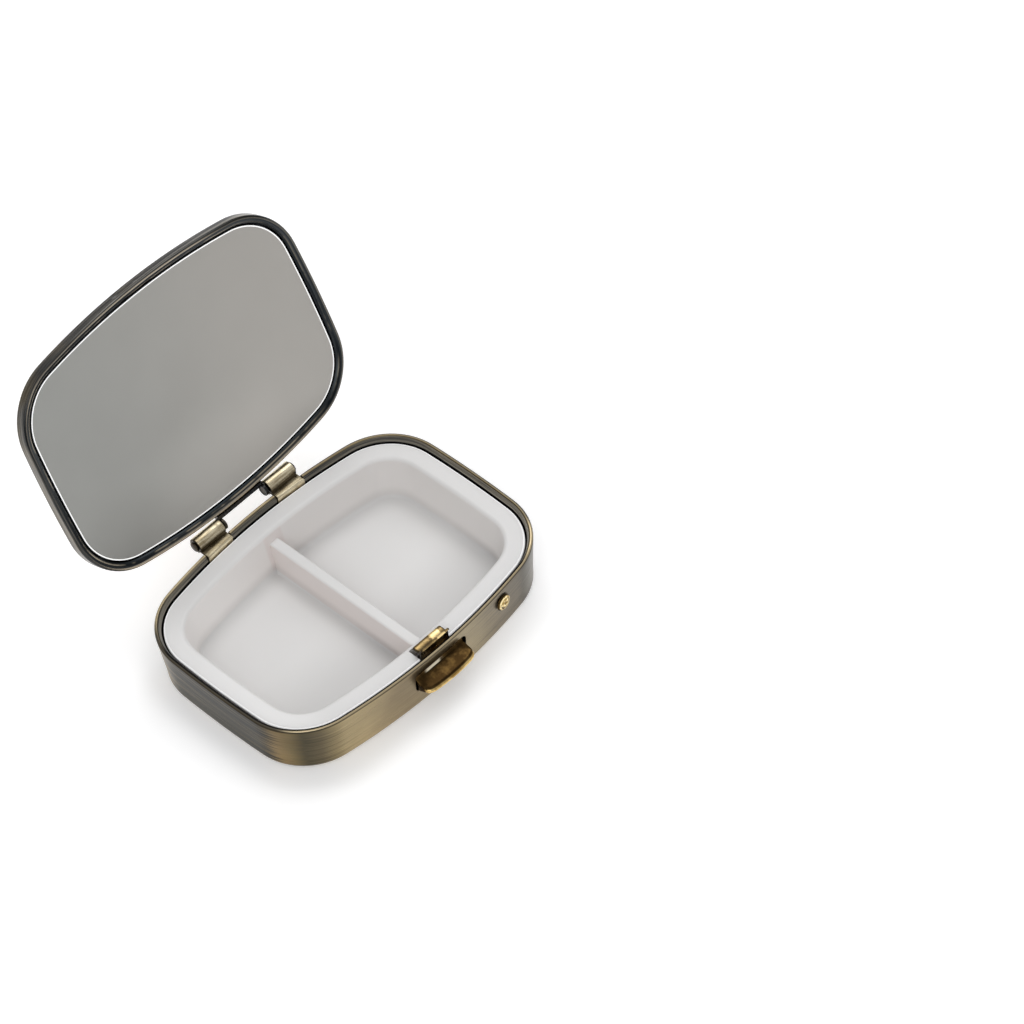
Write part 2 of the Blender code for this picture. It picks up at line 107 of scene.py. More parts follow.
# Hinge and catch
BARREL_RADIUS, BARREL_BORE, PIN_RADIUS, PIN_HEAD = 1.3, 0.75, 0.6, 0.85
EAR_NEAR, EAR_FAR, EAR_RADIUS = 4.2, 4.75, 1.0
WINDOW_HALF, WINDOW_LOW, WINDOW_HIGH, WINDOW_CORNER = 5.45, 3.7, 8.1, 1.1
BUTTON_REACH, BUTTON_LOW, BUTTON_HIGH = 2.2, 4.2, 7.0
CATCH_FRONT, CATCH_SHEET = 1.3 - HALF_WIDTH, 0.35
CARRIER_LEFT, CARRIER_RIGHT, CARRIER_LOW, CARRIER_HIGH = -5.3, 8.4, 3.4, 7.9
BLADE_RIVET_X, BLADE_RIVET_RADIUS = 7.0, 0.6
HOOK_HALF, HOOK_END = 2.95, 0.25
GAP_HALF, GAP_REAR, NOSE_LOW = 3.1, -18.9, 10.8     # the gap in the lid's fold for the hook
RIVET_LOW, RIVET_HIGH = corners("spring_rivet")
RIVET_X, RIVET_Z = (RIVET_LOW.x + RIVET_HIGH.x) / 2, (RIVET_LOW.z + RIVET_HIGH.z) / 2
RIVET_SHANK, RIVET_HEAD, RIVET_TAIL, RIVET_DEPTH = 0.65, 1.5, 0.95, 1.55
RIVET_INSET = 0.5

# Camera
AZIMUTH, ELEVATION, ROLL = math.radians(-39.56), math.radians(49.59), math.radians(8.12)
TARGET, DISTANCE, LENS = Vector((31.7, -3.9, 0.0)) * MM, 0.9701, 218.5


# ---------------------------------------------------------------- outline

def arc_radius(half, bow):
    """Radius of an arc that rises by bow over half its chord."""
    return (half * half + bow * bow) / (2 * bow)


LONG_RADIUS = arc_radius(HALF_LENGTH, LONG_BOW)
SHORT_RADIUS = arc_radius(HALF_WIDTH, SHORT_BOW)
LONG_CENTRE = HALF_WIDTH - LONG_RADIUS
SHORT_CENTRE = HALF_LENGTH - SHORT_RADIUS


def corner_centre():
    """Centre of the corner arc that is tangent to both bowed sides."""
    long_centre, short_centre = Vector((0.0, LONG_CENTRE)), Vector((SHORT_CENTRE, 0.0))
    to_long, to_short = LONG_RADIUS - CORNER_RADIUS, SHORT_RADIUS - CORNER_RADIUS
    axis = short_centre - long_centre
    span = axis.length
    along = (span * span + to_long * to_long - to_short * to_short) / (2 * span)
    aside = math.sqrt(to_long * to_long - along * along)
    axis.normalize()
    normal = Vector((-axis.y, axis.x))
    choices = [long_centre + axis * along + normal * side * aside for side in (1, -1)]
    return max(choices, key=lambda point: point.x + point.y)


CORNER = corner_centre()
LONG_ANGLE = math.atan2(CORNER.y - LONG_CENTRE, CORNER.x)
SHORT_ANGLE = math.atan2(CORNER.y, CORNER.x - SHORT_CENTRE)


def spaced(start, end, steps):
    """Evenly spaced numbers that include both ends."""
    return [start + (end - start) * i / steps for i in range(steps + 1)]


def outline_turns():
    """(centre x, centre y, radius, angle) of each point on the first quarter."""
    zone = math.acos(BUTTON_ZONE / LONG_RADIUS)
    short = [(SHORT_CENTRE, 0.0, SHORT_RADIUS, t) for t in spaced(0, SHORT_ANGLE, SHORT_STEPS)[:-1]]
    corner = [(CORNER.x, CORNER.y, CORNER_RADIUS, t)
              for t in spaced(SHORT_ANGLE, LONG_ANGLE, CORNER_STEPS)[:-1]]
    turns = spaced(LONG_ANGLE, zone, LONG_STEPS)[:-1] + spaced(zone, math.pi / 2, BUTTON_STEPS)
    return short + corner + [(0.0, LONG_CENTRE, LONG_RADIUS, t) for t in turns]


TURNS = outline_turns()


def outline(inset):
    """The outline moved inwards by inset, as points that run once round it."""
    quarter = [(x + (radius - inset) * math.cos(t), y + (radius - inset) * math.sin(t))
               for x, y, radius, t in TURNS]
    half = quarter + [(-x, y) for x, y in reversed(quarter[1:-1])]
    return half + [(-x, -y) for x, y in half]


def side_y(x, inset=0.0):
    """Distance from the middle line to a long side at x."""
    radius = LONG_RADIUS - inset
    return LONG_CENTRE + math.sqrt(radius * radius - x * x)


def distances(points, closed=False):
    """Running length along a line of points."""
    out = [0.0]
    following = points[1:] + (points[:1] if closed else [])
    for start, end in zip(points, following):
        out.append(out[-1] + (Vector(end) - Vector(start)).length)
    return out


def fallen(depth, radius, most):
    """How far a rounded end has fallen back at a depth from its tip: most at the tip itself."""
    past = max(0.0, radius - depth) / radius
    return most * (1 - math.sqrt(max(0.0, 1 - past * past)))


def bend(inset, z, radius, start, end, steps):
    """(inset, z) points on an arc; 0 degrees faces out of the box, 90 up, 180 inwards."""
    return [(inset - radius * math.cos(math.radians(t)), z + radius * math.sin(math.radians(t)))
            for t in spaced(start, end, steps)]


# ---------------------------------------------------------------- meshes

def skin(loops, across, along, closed=False, wrapped=True):
    """Join equal loops of points by quads, with a UV map of the two running lengths."""
    bm = bmesh.new()
    uv = bm.loops.layers.uv.new("UVMap")
    rings = [[bm.verts.new(point) for point in loop] for loop in loops]
    count = len(rings[0])
    pairs = [(k, k + 1) for k in range(len(rings) - 1)]
    if closed:
        pairs.append((len(rings) - 1, 0))
    for low, high in pairs:
        lengths = (across[low], across[low + 1])
        for i in range(count if wrapped else count - 1):
            j = (i + 1) % count
            face = bm.faces.new((rings[low][i], rings[low][j], rings[high][j], rings[high][i]))
            places = ((along[i], lengths[0]), (along[i + 1], lengths[0]),
                      (along[i + 1], lengths[1]), (along[i], lengths[1]))
            for corner, place in zip(face.loops, places):
                corner[uv].uv = place
    if not closed and wrapped:
        for ring, length in ((rings[0], across[0]), (rings[-1], across[-1])):
            face = bm.faces.new(ring)
            for corner in face.loops:
                corner[uv].uv = (corner.vert.co.x, length)
    return bm


ALONG = distances(outline(0.0), closed=True)


def shell(profile, closed=False):
    """Carry a profile of (inset, z) round the outline; U runs along the outline, V along the profile."""
    loops = [[(x, y, z) for x, y in outline(inset)] for inset, z in profile]
    return skin(loops, distances(profile, closed), ALONG, closed)


def strip(section, xs):
    """Carry a closed section along X; section(x) gives its (y, z) points at x.

    U runs along the section, V along X.
    """
    loops = [[(x, y, z) for y, z in section(x)] for x in xs]
    middle = section(xs[len(xs) // 2])
    return skin(loops, [x - xs[0] for x in xs], distances(middle, closed=True))


def turned(profile, steps=48):
    """Turn a profile of (radius, height) about Z; its ends are capped."""
    loops = [[(radius * math.cos(t), radius * math.sin(t), height)
              for t in spaced(0, math.tau, steps)[:-1]] for radius, height in profile]
    return skin(loops, distances(profile), spaced(0, steps * 0.1, steps))


def block(low, high):
    """A block between two corners, used to cut or join."""
    xs = (low[0], high[0])
    loop = [(low[1], low[2]), (high[1], low[2]), (high[1], high[2]), (low[1], high[2])]
    return strip(lambda _: loop, list(xs))


def window_block(half, low, high, radius, front, rear):
    """A block along Y whose section is a rectangle with round corners."""
    points = []
    for sx, sz, start in ((1, 1, 0), (-1, 1, 1), (-1, -1, 2), (1, -1, 3)):
        middle_x, middle_z = sx * (half - radius), (high - radius) if sz > 0 else (low + radius)
        points += [(middle_x + radius * math.cos(t), middle_z + radius * math.sin(t))
                   for t in spaced(start * math.pi / 2, (start + 1) * math.pi / 2, 10)]
    loops = [[(x, y, z) for x, z in points] for y in (front, rear)]
    return skin(loops, [0, abs(rear - front)], distances(points, closed=True))


def to_object(name, bm):
    """A mesh drawn in millimetres, as an object in millimetres."""
    bmesh.ops.recalc_face_normals(bm, faces=bm.faces)
    mesh = bpy.data.meshes.new(name)
    bm.to_mesh(mesh)
    bm.free()
    obj = bpy.data.objects.new(name, mesh)
    bpy.context.scene.collection.objects.link(obj)
    return obj


def combine(obj, steps):
    """Cut from or join to obj each (mesh, operation), and apply the result."""
    helpers = []
    for shape, operation in steps:
        other = to_object(obj.name + "_tool", shape)
        modifier = obj.modifiers.new(other.name, "BOOLEAN")
        modifier.operation = operation
        modifier.object = other
        helpers.append(other)
    apply_modifiers(obj)
    for other in helpers:
        bpy.data.objects.remove(other)
    return obj


def apply_modifiers(obj):
    """Replace the mesh by what its modifiers make of it."""
    bpy.context.view_layer.update()
    evaluated = obj.evaluated_get(bpy.context.evaluated_depsgraph_get())
    mesh = bpy.data.meshes.new_from_object(evaluated)
    obj.modifiers.clear()
    obj.data = mesh


LID_TURN = (Matrix.Translation((0, HINGE_Y, HINGE_Z)) @ Matrix.Rotation(-SWING, 4, "X")
            @ Matrix.Translation((0, -HINGE_Y, -HINGE_Z)))


def finish_piece(obj, body, materials, nodes=(), smooth=35):
    """Bring a piece to its place in metres, give it its finish and hang it on its body."""
    turn = LID_TURN if body == "lid" else Matrix.Identity(4)
    obj.data.transform(Matrix.Scale(MM, 4) @ turn)
    for mat in materials:
        obj.data.materials.append(mat)
    obj.data.shade_smooth()
    obj.data.set_sharp_from_angle(angle=math.radians(smooth))
    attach(obj, body)
    if nodes:
        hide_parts(*nodes)
    return obj


def wall_frame(x, z, inset):
    """A frame on the front wall whose Z points out of the wall."""
    tilt = math.asin(x / LONG_RADIUS)
    place = Matrix.Translation((x, -side_y(x, inset), z))
    return place @ Matrix.Rotation(tilt, 4, "Z") @ Matrix.Rotation(math.pi / 2, 4, "X")


def moved(bm, matrix):
    """The same shape somewhere else."""
    bmesh.ops.transform(bm, matrix=matrix, verts=bm.verts)
    return bm


# ---------------------------------------------------------------- materials

class Finish:
    """A Principled material and short ways to add nodes to it. Lengths are in millimetres."""

    def __init__(self, name, **constants):
        self.material = bpy.data.materials.new(name)
        self.material.use_nodes = True
        self.tree = self.material.node_tree
        self.shader = self.tree.nodes["Principled BSDF"]
        for socket, value in constants.items():
            self.shader.inputs[socket.replace("_", " ")].default_value = value

    def node(self, kind, settings=None, **inputs):
        """A node; each input takes a number, a colour or another node's output."""
        node = self.tree.nodes.new("ShaderNode" + kind)
        for name, value in (settings or {}).items():
            setattr(node, name, value)
        for name, value in inputs.items():
            key = int(name[1:]) if name[1:].isdigit() else name.replace("_", " ")
            self.feed(node.inputs[key], value)
        return node

    def feed(self, socket, value):
        """Link an output to a socket, or set the socket's value."""
        if isinstance(value, bpy.types.NodeSocket):
            self.tree.links.new(value, socket)
        elif isinstance(value, tuple) and len(value) == 3 and socket.type == "RGBA":
            socket.default_value = (*value, 1.0)
        else:
            socket.default_value = value

    def drive(self, **inputs):
        """Drive the shader's own inputs."""
        for name, value in inputs.items():
            self.feed(self.shader.inputs[name.replace("_", " ")], value)

    def surface(self, tone, grain, rough, depth=0.0, spread=0.2, brushed=False):
        """Colour the shader, and roughen and bump it by one grain; rough is (in, on) the grain."""
        self.drive(Base_Color=tone, Roughness=self.ramp(grain, 0.5 - spread, 0.5 + spread, *rough))
        if depth:
            self.drive(Normal=self.bump(grain, depth))
        if brushed:
            self.drive(Tangent=self.node("Tangent", {"direction_type": "UV_MAP"}).outputs[0])
        return self.material

    def math(self, operation, a, b=0.0):
        """One sum."""
        return self.node("Math", {"operation": operation}, i0=a, i1=b).outputs[0]

    def plus(self, a, b):
        """A sum of two values."""
        return self.math("ADD", a, b)

    def times(self, product, *factors):
        """A product of values."""
        for factor in factors:
            product = self.math("MULTIPLY", product, factor)
        return product

    def size(self, value):
        """A value without its sign."""
        return self.math("ABSOLUTE", value)

    def away(self, value, middle):
        """Distance of a value from a middle one."""
        return self.size(self.math("SUBTRACT", value, middle))

    def ramp(self, value, low, high, to_low=0.0, to_high=1.0):
        """A smooth step from one value to another."""
        return self.node("MapRange", {"interpolation_type": "SMOOTHSTEP"}, Value=value,
                         From_Min=low, From_Max=high, To_Min=to_low, To_Max=to_high).outputs[0]

    def near(self, value, middle, close, far, most=1.0):
        """most within close of a middle value, and 0 beyond far of it."""
        return self.ramp(self.away(value, middle), close, far, most, 0.0)

    def mix(self, share, first, second):
        """A mix of two colours."""
        node = self.node("Mix", {"data_type": "RGBA"}, i0=share)
        self.feed(node.inputs[6], first)
        self.feed(node.inputs[7], second)
        return node.outputs[2]

    def blend(self, value, low, high, first, second, most=1.0):
        """The first colour below low, and as much as most of the second above high."""
        return self.mix(self.ramp(value, low, high, 0.0, most), first, second)

    def scaled(self, colour, factor):
        """A colour times a number."""
        return self.node("VectorMath", {"operation": "SCALE"}, i0=colour, Scale=factor).outputs[0]

    def place(self, size):
        """Object coordinates, scaled so that one unit is size millimetres."""
        here = self.node("TexCoord").outputs["Object"]
        scale = 1 / (size * MM)
        return self.node("Mapping", Vector=here, Scale=(scale, scale, scale)).outputs[0]

    def uv(self):
        """U and V."""
        parts = self.node("SeparateXYZ", Vector=self.node("TexCoord").outputs["UV"])
        return parts.outputs[0], parts.outputs[1]

    def axes(self):
        """X, Y and Z of the place."""
        return self.node("SeparateXYZ", Vector=self.place(1)).outputs

    def normal(self):
        """X, Y and Z of the surface's normal."""
        return self.node("SeparateXYZ", Vector=self.node("TexCoord").outputs["Normal"]).outputs

    def noise(self, size, detail=3.0, roughness=0.5):
        """Even noise with features of a size."""
        return self.node("TexNoise", Vector=self.place(size), Scale=1.0, Detail=detail,
                         Roughness=roughness).outputs[0]

    def brushing(self, length, width, lane=1):
        """Long fine streaks: slow in place, fast in U (lane 0) or in V (lane 1)."""
        across = self.times(self.uv()[lane], 1 / width)
        return self.node("TexNoise", {"noise_dimensions": "4D"}, Vector=self.place(length),
                         W=across, Scale=1.0, Detail=4.0, Roughness=0.6).outputs[0]

    def stops(self, value, low, high, colours):
        """A colour ramp between two values; colours are (value, colour) pairs."""
        node = self.node("ValToRGB", Fac=self.math("DIVIDE", self.math("SUBTRACT", value, low), high - low))
        line = node.color_ramp.elements
        while len(line) < len(colours):
            line.new(1.0)
        for stop, (at, colour) in zip(line, colours):
            stop.position = (at - low) / (high - low)
            stop.color = (*colour, 1.0)
        return node.outputs[0]

    def bump(self, height, depth):
        """A bump of a depth."""
        return self.node("Bump", Height=height, Distance=depth * MM, Strength=1.0).outputs[0]


def brushed_metal(name, dark, light, warm, roughness, length=26, width=0.22):
    """Aged metal with brush lines: dark in the lines, with warm worn patches."""
    finish = Finish(name, Metallic=1.0)
    lines = finish.brushing(length, width)
    tone = finish.blend(lines, 0.32, 0.68, dark, light)
    tone = finish.blend(finish.noise(11, 4.0, 0.55), 0.45, 0.68, tone, warm, 0.8)
    smear = finish.noise(2.4, 5.0, 0.6)
    low, high = roughness
    rough = finish.ramp(finish.plus(lines, smear), 0.7, 1.3, high, low)
    finish.drive(Base_Color=tone, Roughness=rough, Normal=finish.bump(lines, 0.004))
    return finish.material


# painted reflections and shade: the bronze's tone follows the way the wall faces
WALL_PAINTED_LIGHT = (                  # X of the wall's normal, and the bronze there
    (-1.0, (0.02, 0.02, 0.014)), (-0.98, (0.055, 0.045, 0.025)), (-0.92, (0.26, 0.18, 0.08)),
    (-0.83, (0.2, 0.15, 0.07)), (-0.7, (0.09, 0.076, 0.044)), (-0.5, (0.15, 0.12, 0.07)),
    (-0.28, (0.31, 0.245, 0.13)), (-0.15, (0.44, 0.35, 0.195)), (-0.08, (0.33, 0.255, 0.15)),
    (0.06, (0.4, 0.33, 0.205)), (0.12, (0.2, 0.165, 0.115)), (0.2, (0.08, 0.068, 0.046)),
    (0.5, (0.09, 0.076, 0.048)), (1.0, (0.08, 0.07, 0.05)))
# painted shade: the side of the box where a black shade line runs inside the lip
SHADED_LIP_WAY = (-0.64, -0.77)  # direction in plan of the side where the lip is black inside


def shell_finish(lip, fold):
    """Antique bronze of the base, with painted reflections and shade: gold in places, darker and greyer on
    the ends, by the way the wall faces, and darker towards its top.

    lip and fold are the V of the top of the lip and of the end of its inner slope.
    """
    finish = Finish("antique_bronze", Metallic=1.0, Anisotropic=0.55)
    lines, fine = finish.brushing(30, 0.2), finish.brushing(9, 0.06)
    both = finish.plus(finish.times(lines, 0.55), finish.times(fine, 0.45))
    aside = finish.plus(finish.normal()[0], finish.ramp(lines, 0.3, 0.7, -0.04, 0.04))
    x, y, z = finish.axes()
    # painted reflections and shade: the tone is read from the way the wall faces
    tone = finish.stops(aside, -1, 1, WALL_PAINTED_LIGHT)
    tone = finish.scaled(tone, finish.ramp(both, 0.34, 0.66, 0.8, 1.2))
    tone = finish.scaled(tone, finish.ramp(finish.noise(13), 0.35, 0.65, 0.88, 1.1))
    # painted shade: darker towards the top of the wall
    tone = finish.scaled(tone, finish.ramp(z, 2.5, 8.5, 1.08, 0.8))
    across = finish.uv()[1]
    # painted reflection: the lip's inner slope in slate grey brush streaks
    slate = finish.blend(both, 0.4, 0.62, (0.05, 0.055, 0.056), (0.34, 0.31, 0.25))
    tone = finish.blend(across, lip + 0.2, lip + 0.4, tone, slate)
    # painted shade: near black where the lip's inner slope ends, in the gap beside the tray
    tone = finish.blend(across, fold - 0.1, fold + 0.1, tone, (0.01, 0.01, 0.01))
    # painted highlight: a pale gold line along the top of the lip, brightest at the front and at the rear
    front = finish.ramp(y, -15.5, -12.5, 1.0, 0.0)
    rear = finish.times(finish.ramp(y, 14, 17), finish.ramp(x, 2, 14, 1.0, 0.0))
    painted_highlight = finish.math("MAXIMUM", front, rear)
    cream_highlight = finish.mix(painted_highlight, (0.12, 0.105, 0.08), (0.56, 0.46, 0.29))
    tone = finish.mix(finish.near(across, lip - 0.15, 0.13, 0.24), tone, cream_highlight)
    # painted shade: a black line inside the lip on the side towards the camera
    facing = finish.plus(finish.times(x, SHADED_LIP_WAY[0] / HALF_LENGTH),
                         finish.times(y, SHADED_LIP_WAY[1] / HALF_WIDTH))
    black = finish.times(finish.ramp(across, lip - 0.13, lip - 0.05), finish.ramp(facing, 0.08, 0.25))
    tone = finish.mix(black, tone, (0.006, 0.005, 0.005))
    # painted shade: a dark line under the lip's bead, wider where the highlight is weak
    outer = finish.mix(painted_highlight, (0.02, 0.018, 0.014), (0.04, 0.035, 0.028))
    reach = finish.times(finish.ramp(painted_highlight, 0.0, 1.0, 1.7, 1.0), 0.16)
    shade = finish.ramp(finish.math("DIVIDE", finish.away(across, lip - 0.5), reach), 0.3, 1.0, 0.8, 0.0)
    return finish.surface(finish.mix(shade, tone, outer), both, (0.34, 0.26), 0.004, brushed=True)


def lid_finish(lowest, band):
    """The lid: blackened inside, streaked grey bronze outside, with a painted highlight along its lowest
    line in places and a painted reflection streak down its inner slope.

    lowest and band are the V of the lowest line and of the lower end of the upright band.
    """
    finish = Finish("lid_bronze", Metallic=1.0, Anisotropic=0.3)
    across = finish.uv()[1]
    x, _, z = finish.axes()
    fine = finish.brushing(11, 0.12)
    both = finish.plus(finish.times(finish.brushing(20, 0.5), 0.65), finish.times(fine, 0.35))
    black = finish.blend(both, 0.38, 0.66, (0.01, 0.0135, 0.016), (0.05, 0.055, 0.058))
    streaked = finish.blend(both, 0.43, 0.6, (0.032, 0.033, 0.034), (0.22, 0.205, 0.18))
    streaked = finish.blend(finish.noise(9), 0.5, 0.7, streaked, (0.24, 0.19, 0.11), 0.35)
    tone = finish.blend(across, lowest + 0.1, band, black, streaked)
    # painted highlight: a pale line along the lid's lowest line, shown only in places along x and near the
    # hinge
    painted_highlight = finish.blend(fine, 0.35, 0.6, (0.2, 0.18, 0.15), (0.62, 0.54, 0.42))
    middle = finish.times(finish.ramp(x, 9, 19, 1.0, 0.2), finish.ramp(x, -28, -22, 0.15, 1.0))
    hinge_side = finish.ramp(z, 12.5, 16, 1.0, 0.0)
    beside = finish.times(hinge_side, finish.ramp(x, 19, 25, 1.0, 0.2))
    reach = finish.ramp(hinge_side, 0.0, 1.0, 0.17, 0.4)
    away = finish.math("DIVIDE", finish.away(across, lowest + 0.05), reach)
    line = finish.times(finish.ramp(away, 0.35, 1.0, 1.0, 0.0), finish.math("MAXIMUM", middle, beside))
    tone = finish.mix(line, tone, painted_highlight)
    # painted reflection: a pale streak down the inner slope, broken up and fading to the right
    broken = finish.times(finish.ramp(finish.noise(5, 3.0, 0.6), 0.38, 0.56),
                          finish.ramp(x, 12, 22, 1.0, 0.25))
    inner = finish.times(finish.near(across, lowest - 0.62, 0.05, 0.17), broken)
    tone = finish.mix(inner, tone, (0.36, 0.315, 0.24))
    return finish.surface(tone, both, (0.2, 0.3), 0.004, brushed=True)


def leaf_finish():
    """The hinge leaf: blackened like the inside of the lid, greyer in its streaks."""
    return brushed_metal("leaf_bronze", (0.014, 0.017, 0.02), (0.06, 0.061, 0.062),
                         (0.08, 0.065, 0.045), (0.18, 0.3), length=12, width=0.3)


def bezel_finish(crest, inner):
    """The bead round the picture: gold with a painted highlight along its crest, its slope painted as a
    reflection, silver grey on one side and brown on the other, and painted shade at its outer and inner
    edges.

    crest and inner are the V of the top of the bead and of its inner edge.
    """
    finish = Finish("bezel_brass", Metallic=1.0, Anisotropic=0.4)
    lines = finish.brushing(24, 0.28)
    x, across = finish.axes()[0], finish.uv()[1]
    tone = finish.blend(lines, 0.36, 0.64, (0.2, 0.15, 0.08), (0.46, 0.36, 0.21))
    # painted reflection: the slope is silver grey on one side and brown on the other
    slope = finish.blend(x, -16, 4, (0.46, 0.45, 0.42), (0.16, 0.125, 0.075))
    slope = finish.scaled(slope, finish.ramp(lines, 0.36, 0.64, 0.6, 1.3))
    tone = finish.blend(across, crest + 0.3, crest + 0.55, tone, slope)
    # painted highlight: a pale gold line along the crest
    cream_highlight = finish.times(finish.near(across, crest - 0.05, 0.14, 0.42),
                         finish.ramp(finish.noise(14), 0.35, 0.6, 0.3, 1.0))
    tone = finish.mix(cream_highlight, tone, (0.82, 0.7, 0.47))
    # painted shade: dark at the bead's outer and inner edges
    shaded_feet = finish.plus(finish.ramp(across, 0.3, 0.75, 0.9, 0.0),
                       finish.ramp(across, inner - 0.32, inner - 0.12, 0.0, 0.95))
    tone = finish.mix(shaded_feet, tone, (0.018, 0.014, 0.01))
    return finish.surface(tone, lines, (0.3, 0.2), 0.004, brushed=True)


def spring_finish():
    """Spring brass: brown gold, dulled."""
    return brushed_metal("spring_brass", (0.24, 0.185, 0.1), (0.5, 0.41, 0.25),
                         (0.42, 0.3, 0.13), (0.22, 0.34), width=0.3)


def hinge_finish(valley, strap):
    """Hinge brass: pale gold where the barrels and straps stand proud, with painted shade in the hollow
    between barrel and strap and on the faces turned to the ends.

    valley and strap are the lengths along the section of the two sides of the hollow between
    barrel and strap.
    """
    finish = Finish("hinge_brass", Metallic=1.0)
    lines = finish.brushing(5, 0.35, lane=0)
    blotch = finish.noise(1.8, 4.0, 0.6)
    dark = (0.03, 0.022, 0.012)
    tone = finish.blend(lines, 0.36, 0.64, (0.36, 0.29, 0.175), (0.86, 0.77, 0.56))
    tone = finish.blend(blotch, 0.52, 0.7, tone, (0.2, 0.15, 0.08), 0.6)
    place = finish.uv()[0]
    # painted shade: dark in the hollow between barrel and strap
    for middle, width in ((valley, 1.5), (strap, 0.45)):
        tone = finish.mix(finish.near(place, middle, width * 0.4, width, 0.94), tone, dark)
    # painted shade: dark on the faces turned to the ends
    tone = finish.blend(finish.size(finish.normal()[0]), 0.3, 0.8, tone, dark)
    return finish.surface(tone, blotch, (0.22, 0.34), 0.01)


def catch_finish():
    """Catch brass: brown, with a painted highlight right of the middle and painted shade low down and at
    its sides.
    """
    finish = Finish("catch_brass", Metallic=1.0)
    blotch = finish.noise(2.2)
    x, _, z = finish.axes()
    dark, bright_from = (0.03, 0.023, 0.014), 8.3
    tone = finish.blend(blotch, 0.4, 0.64, (0.17, 0.115, 0.052), (0.4, 0.28, 0.12))
    # painted highlight: a bright patch right of the middle
    glint_spot = finish.plus(finish.near(x, 1.1, 0.2, 1.5, 0.75),
                       finish.ramp(finish.noise(0.9, 3.0, 0.6), 0.35, 0.65, -0.25, 0.25))
    tone = finish.blend(glint_spot, 0.15, 0.6, tone, (1.0, 0.76, 0.36))
    # painted shade: dark low down
    tone = finish.blend(z, bright_from - 0.3, bright_from, dark, tone)
    # painted shade: dark at the hook's sides
    tone = finish.mix(finish.near(finish.size(x), HOOK_HALF, 0.1, 0.3, 0.85), tone, dark)
    return finish.surface(tone, blotch, (0.34, 0.2), 0.012, spread=0.15)


def button_finish(fillet, nose, underside):
    """Thumb piece: dark brown, with gold painted round the front edge as a highlight and a painted glint in
    the rear fillet.

    fillet, nose and underside are lengths along the section, which are the U of its mesh.
    """
    finish = Finish("button_bronze", Metallic=1.0)
    blotch = finish.noise(1.6, 4.0, 0.6)
    dark = finish.blend(blotch, 0.4, 0.65, (0.038, 0.021, 0.007), (0.085, 0.05, 0.016))
    gold = finish.blend(blotch, 0.35, 0.65, (0.36, 0.22, 0.06), (0.8, 0.58, 0.24))
    place = finish.uv()[0]
    # painted highlight: gold round the front edge
    edge = finish.times(finish.ramp(place, nose - 0.12, nose + 0.1),
                        finish.ramp(place, underside - 0.2, underside, 1.0, 0.0))
    # painted highlight: a glint in the rear fillet
    glint = finish.times(finish.near(place, fillet, 0.08, 0.3),
                         finish.near(finish.axes()[0], -1.2, 1.2, 2.1),
                         finish.ramp(finish.noise(1.5, 1.0), 0.36, 0.54))
    tone = finish.mix(glint, finish.mix(edge, dark, gold), (1.0, 0.9, 0.68))
    return finish.surface(tone, blotch, (0.22, 0.12), 0.012, spread=0.15)


def rivet_finish(rim, hollows):
    """Rivet gold: bright and beaten, with painted shade in its hollows and round its rim.

    rim is the V beyond which the head is dark, hollows the V of its sunk places.
    """
    finish = Finish("rivet_gold", Metallic=1.0)
    beaten = finish.noise(0.5, 2.0)
    across = finish.uv()[1]
    dark = (0.05, 0.03, 0.01)
    tone = finish.blend(beaten, 0.38, 0.6, (0.36, 0.23, 0.065), (0.95, 0.78, 0.42))
    # painted shade: dark in the head's hollows
    for hollow in hollows:
        sunk = finish.times(finish.near(across, hollow, 0.07, 0.17),
                            finish.ramp(finish.noise(0.8, 2.0), 0.4, 0.55, 0.95, 0.35))
        tone = finish.mix(sunk, tone, dark)
    # painted shade: dark round the rim
    tone = finish.blend(across, rim - 0.1, rim + 0.04, tone, dark)
    return finish.surface(tone, beaten, (0.24, 0.12), 0.06)


def steel_finish():
    """Pin steel, darkened."""
    return brushed_metal("pin_steel", (0.014, 0.012, 0.01), (0.06, 0.05, 0.036),
                         (0.09, 0.066, 0.035), (0.24, 0.36), length=3, width=0.3)


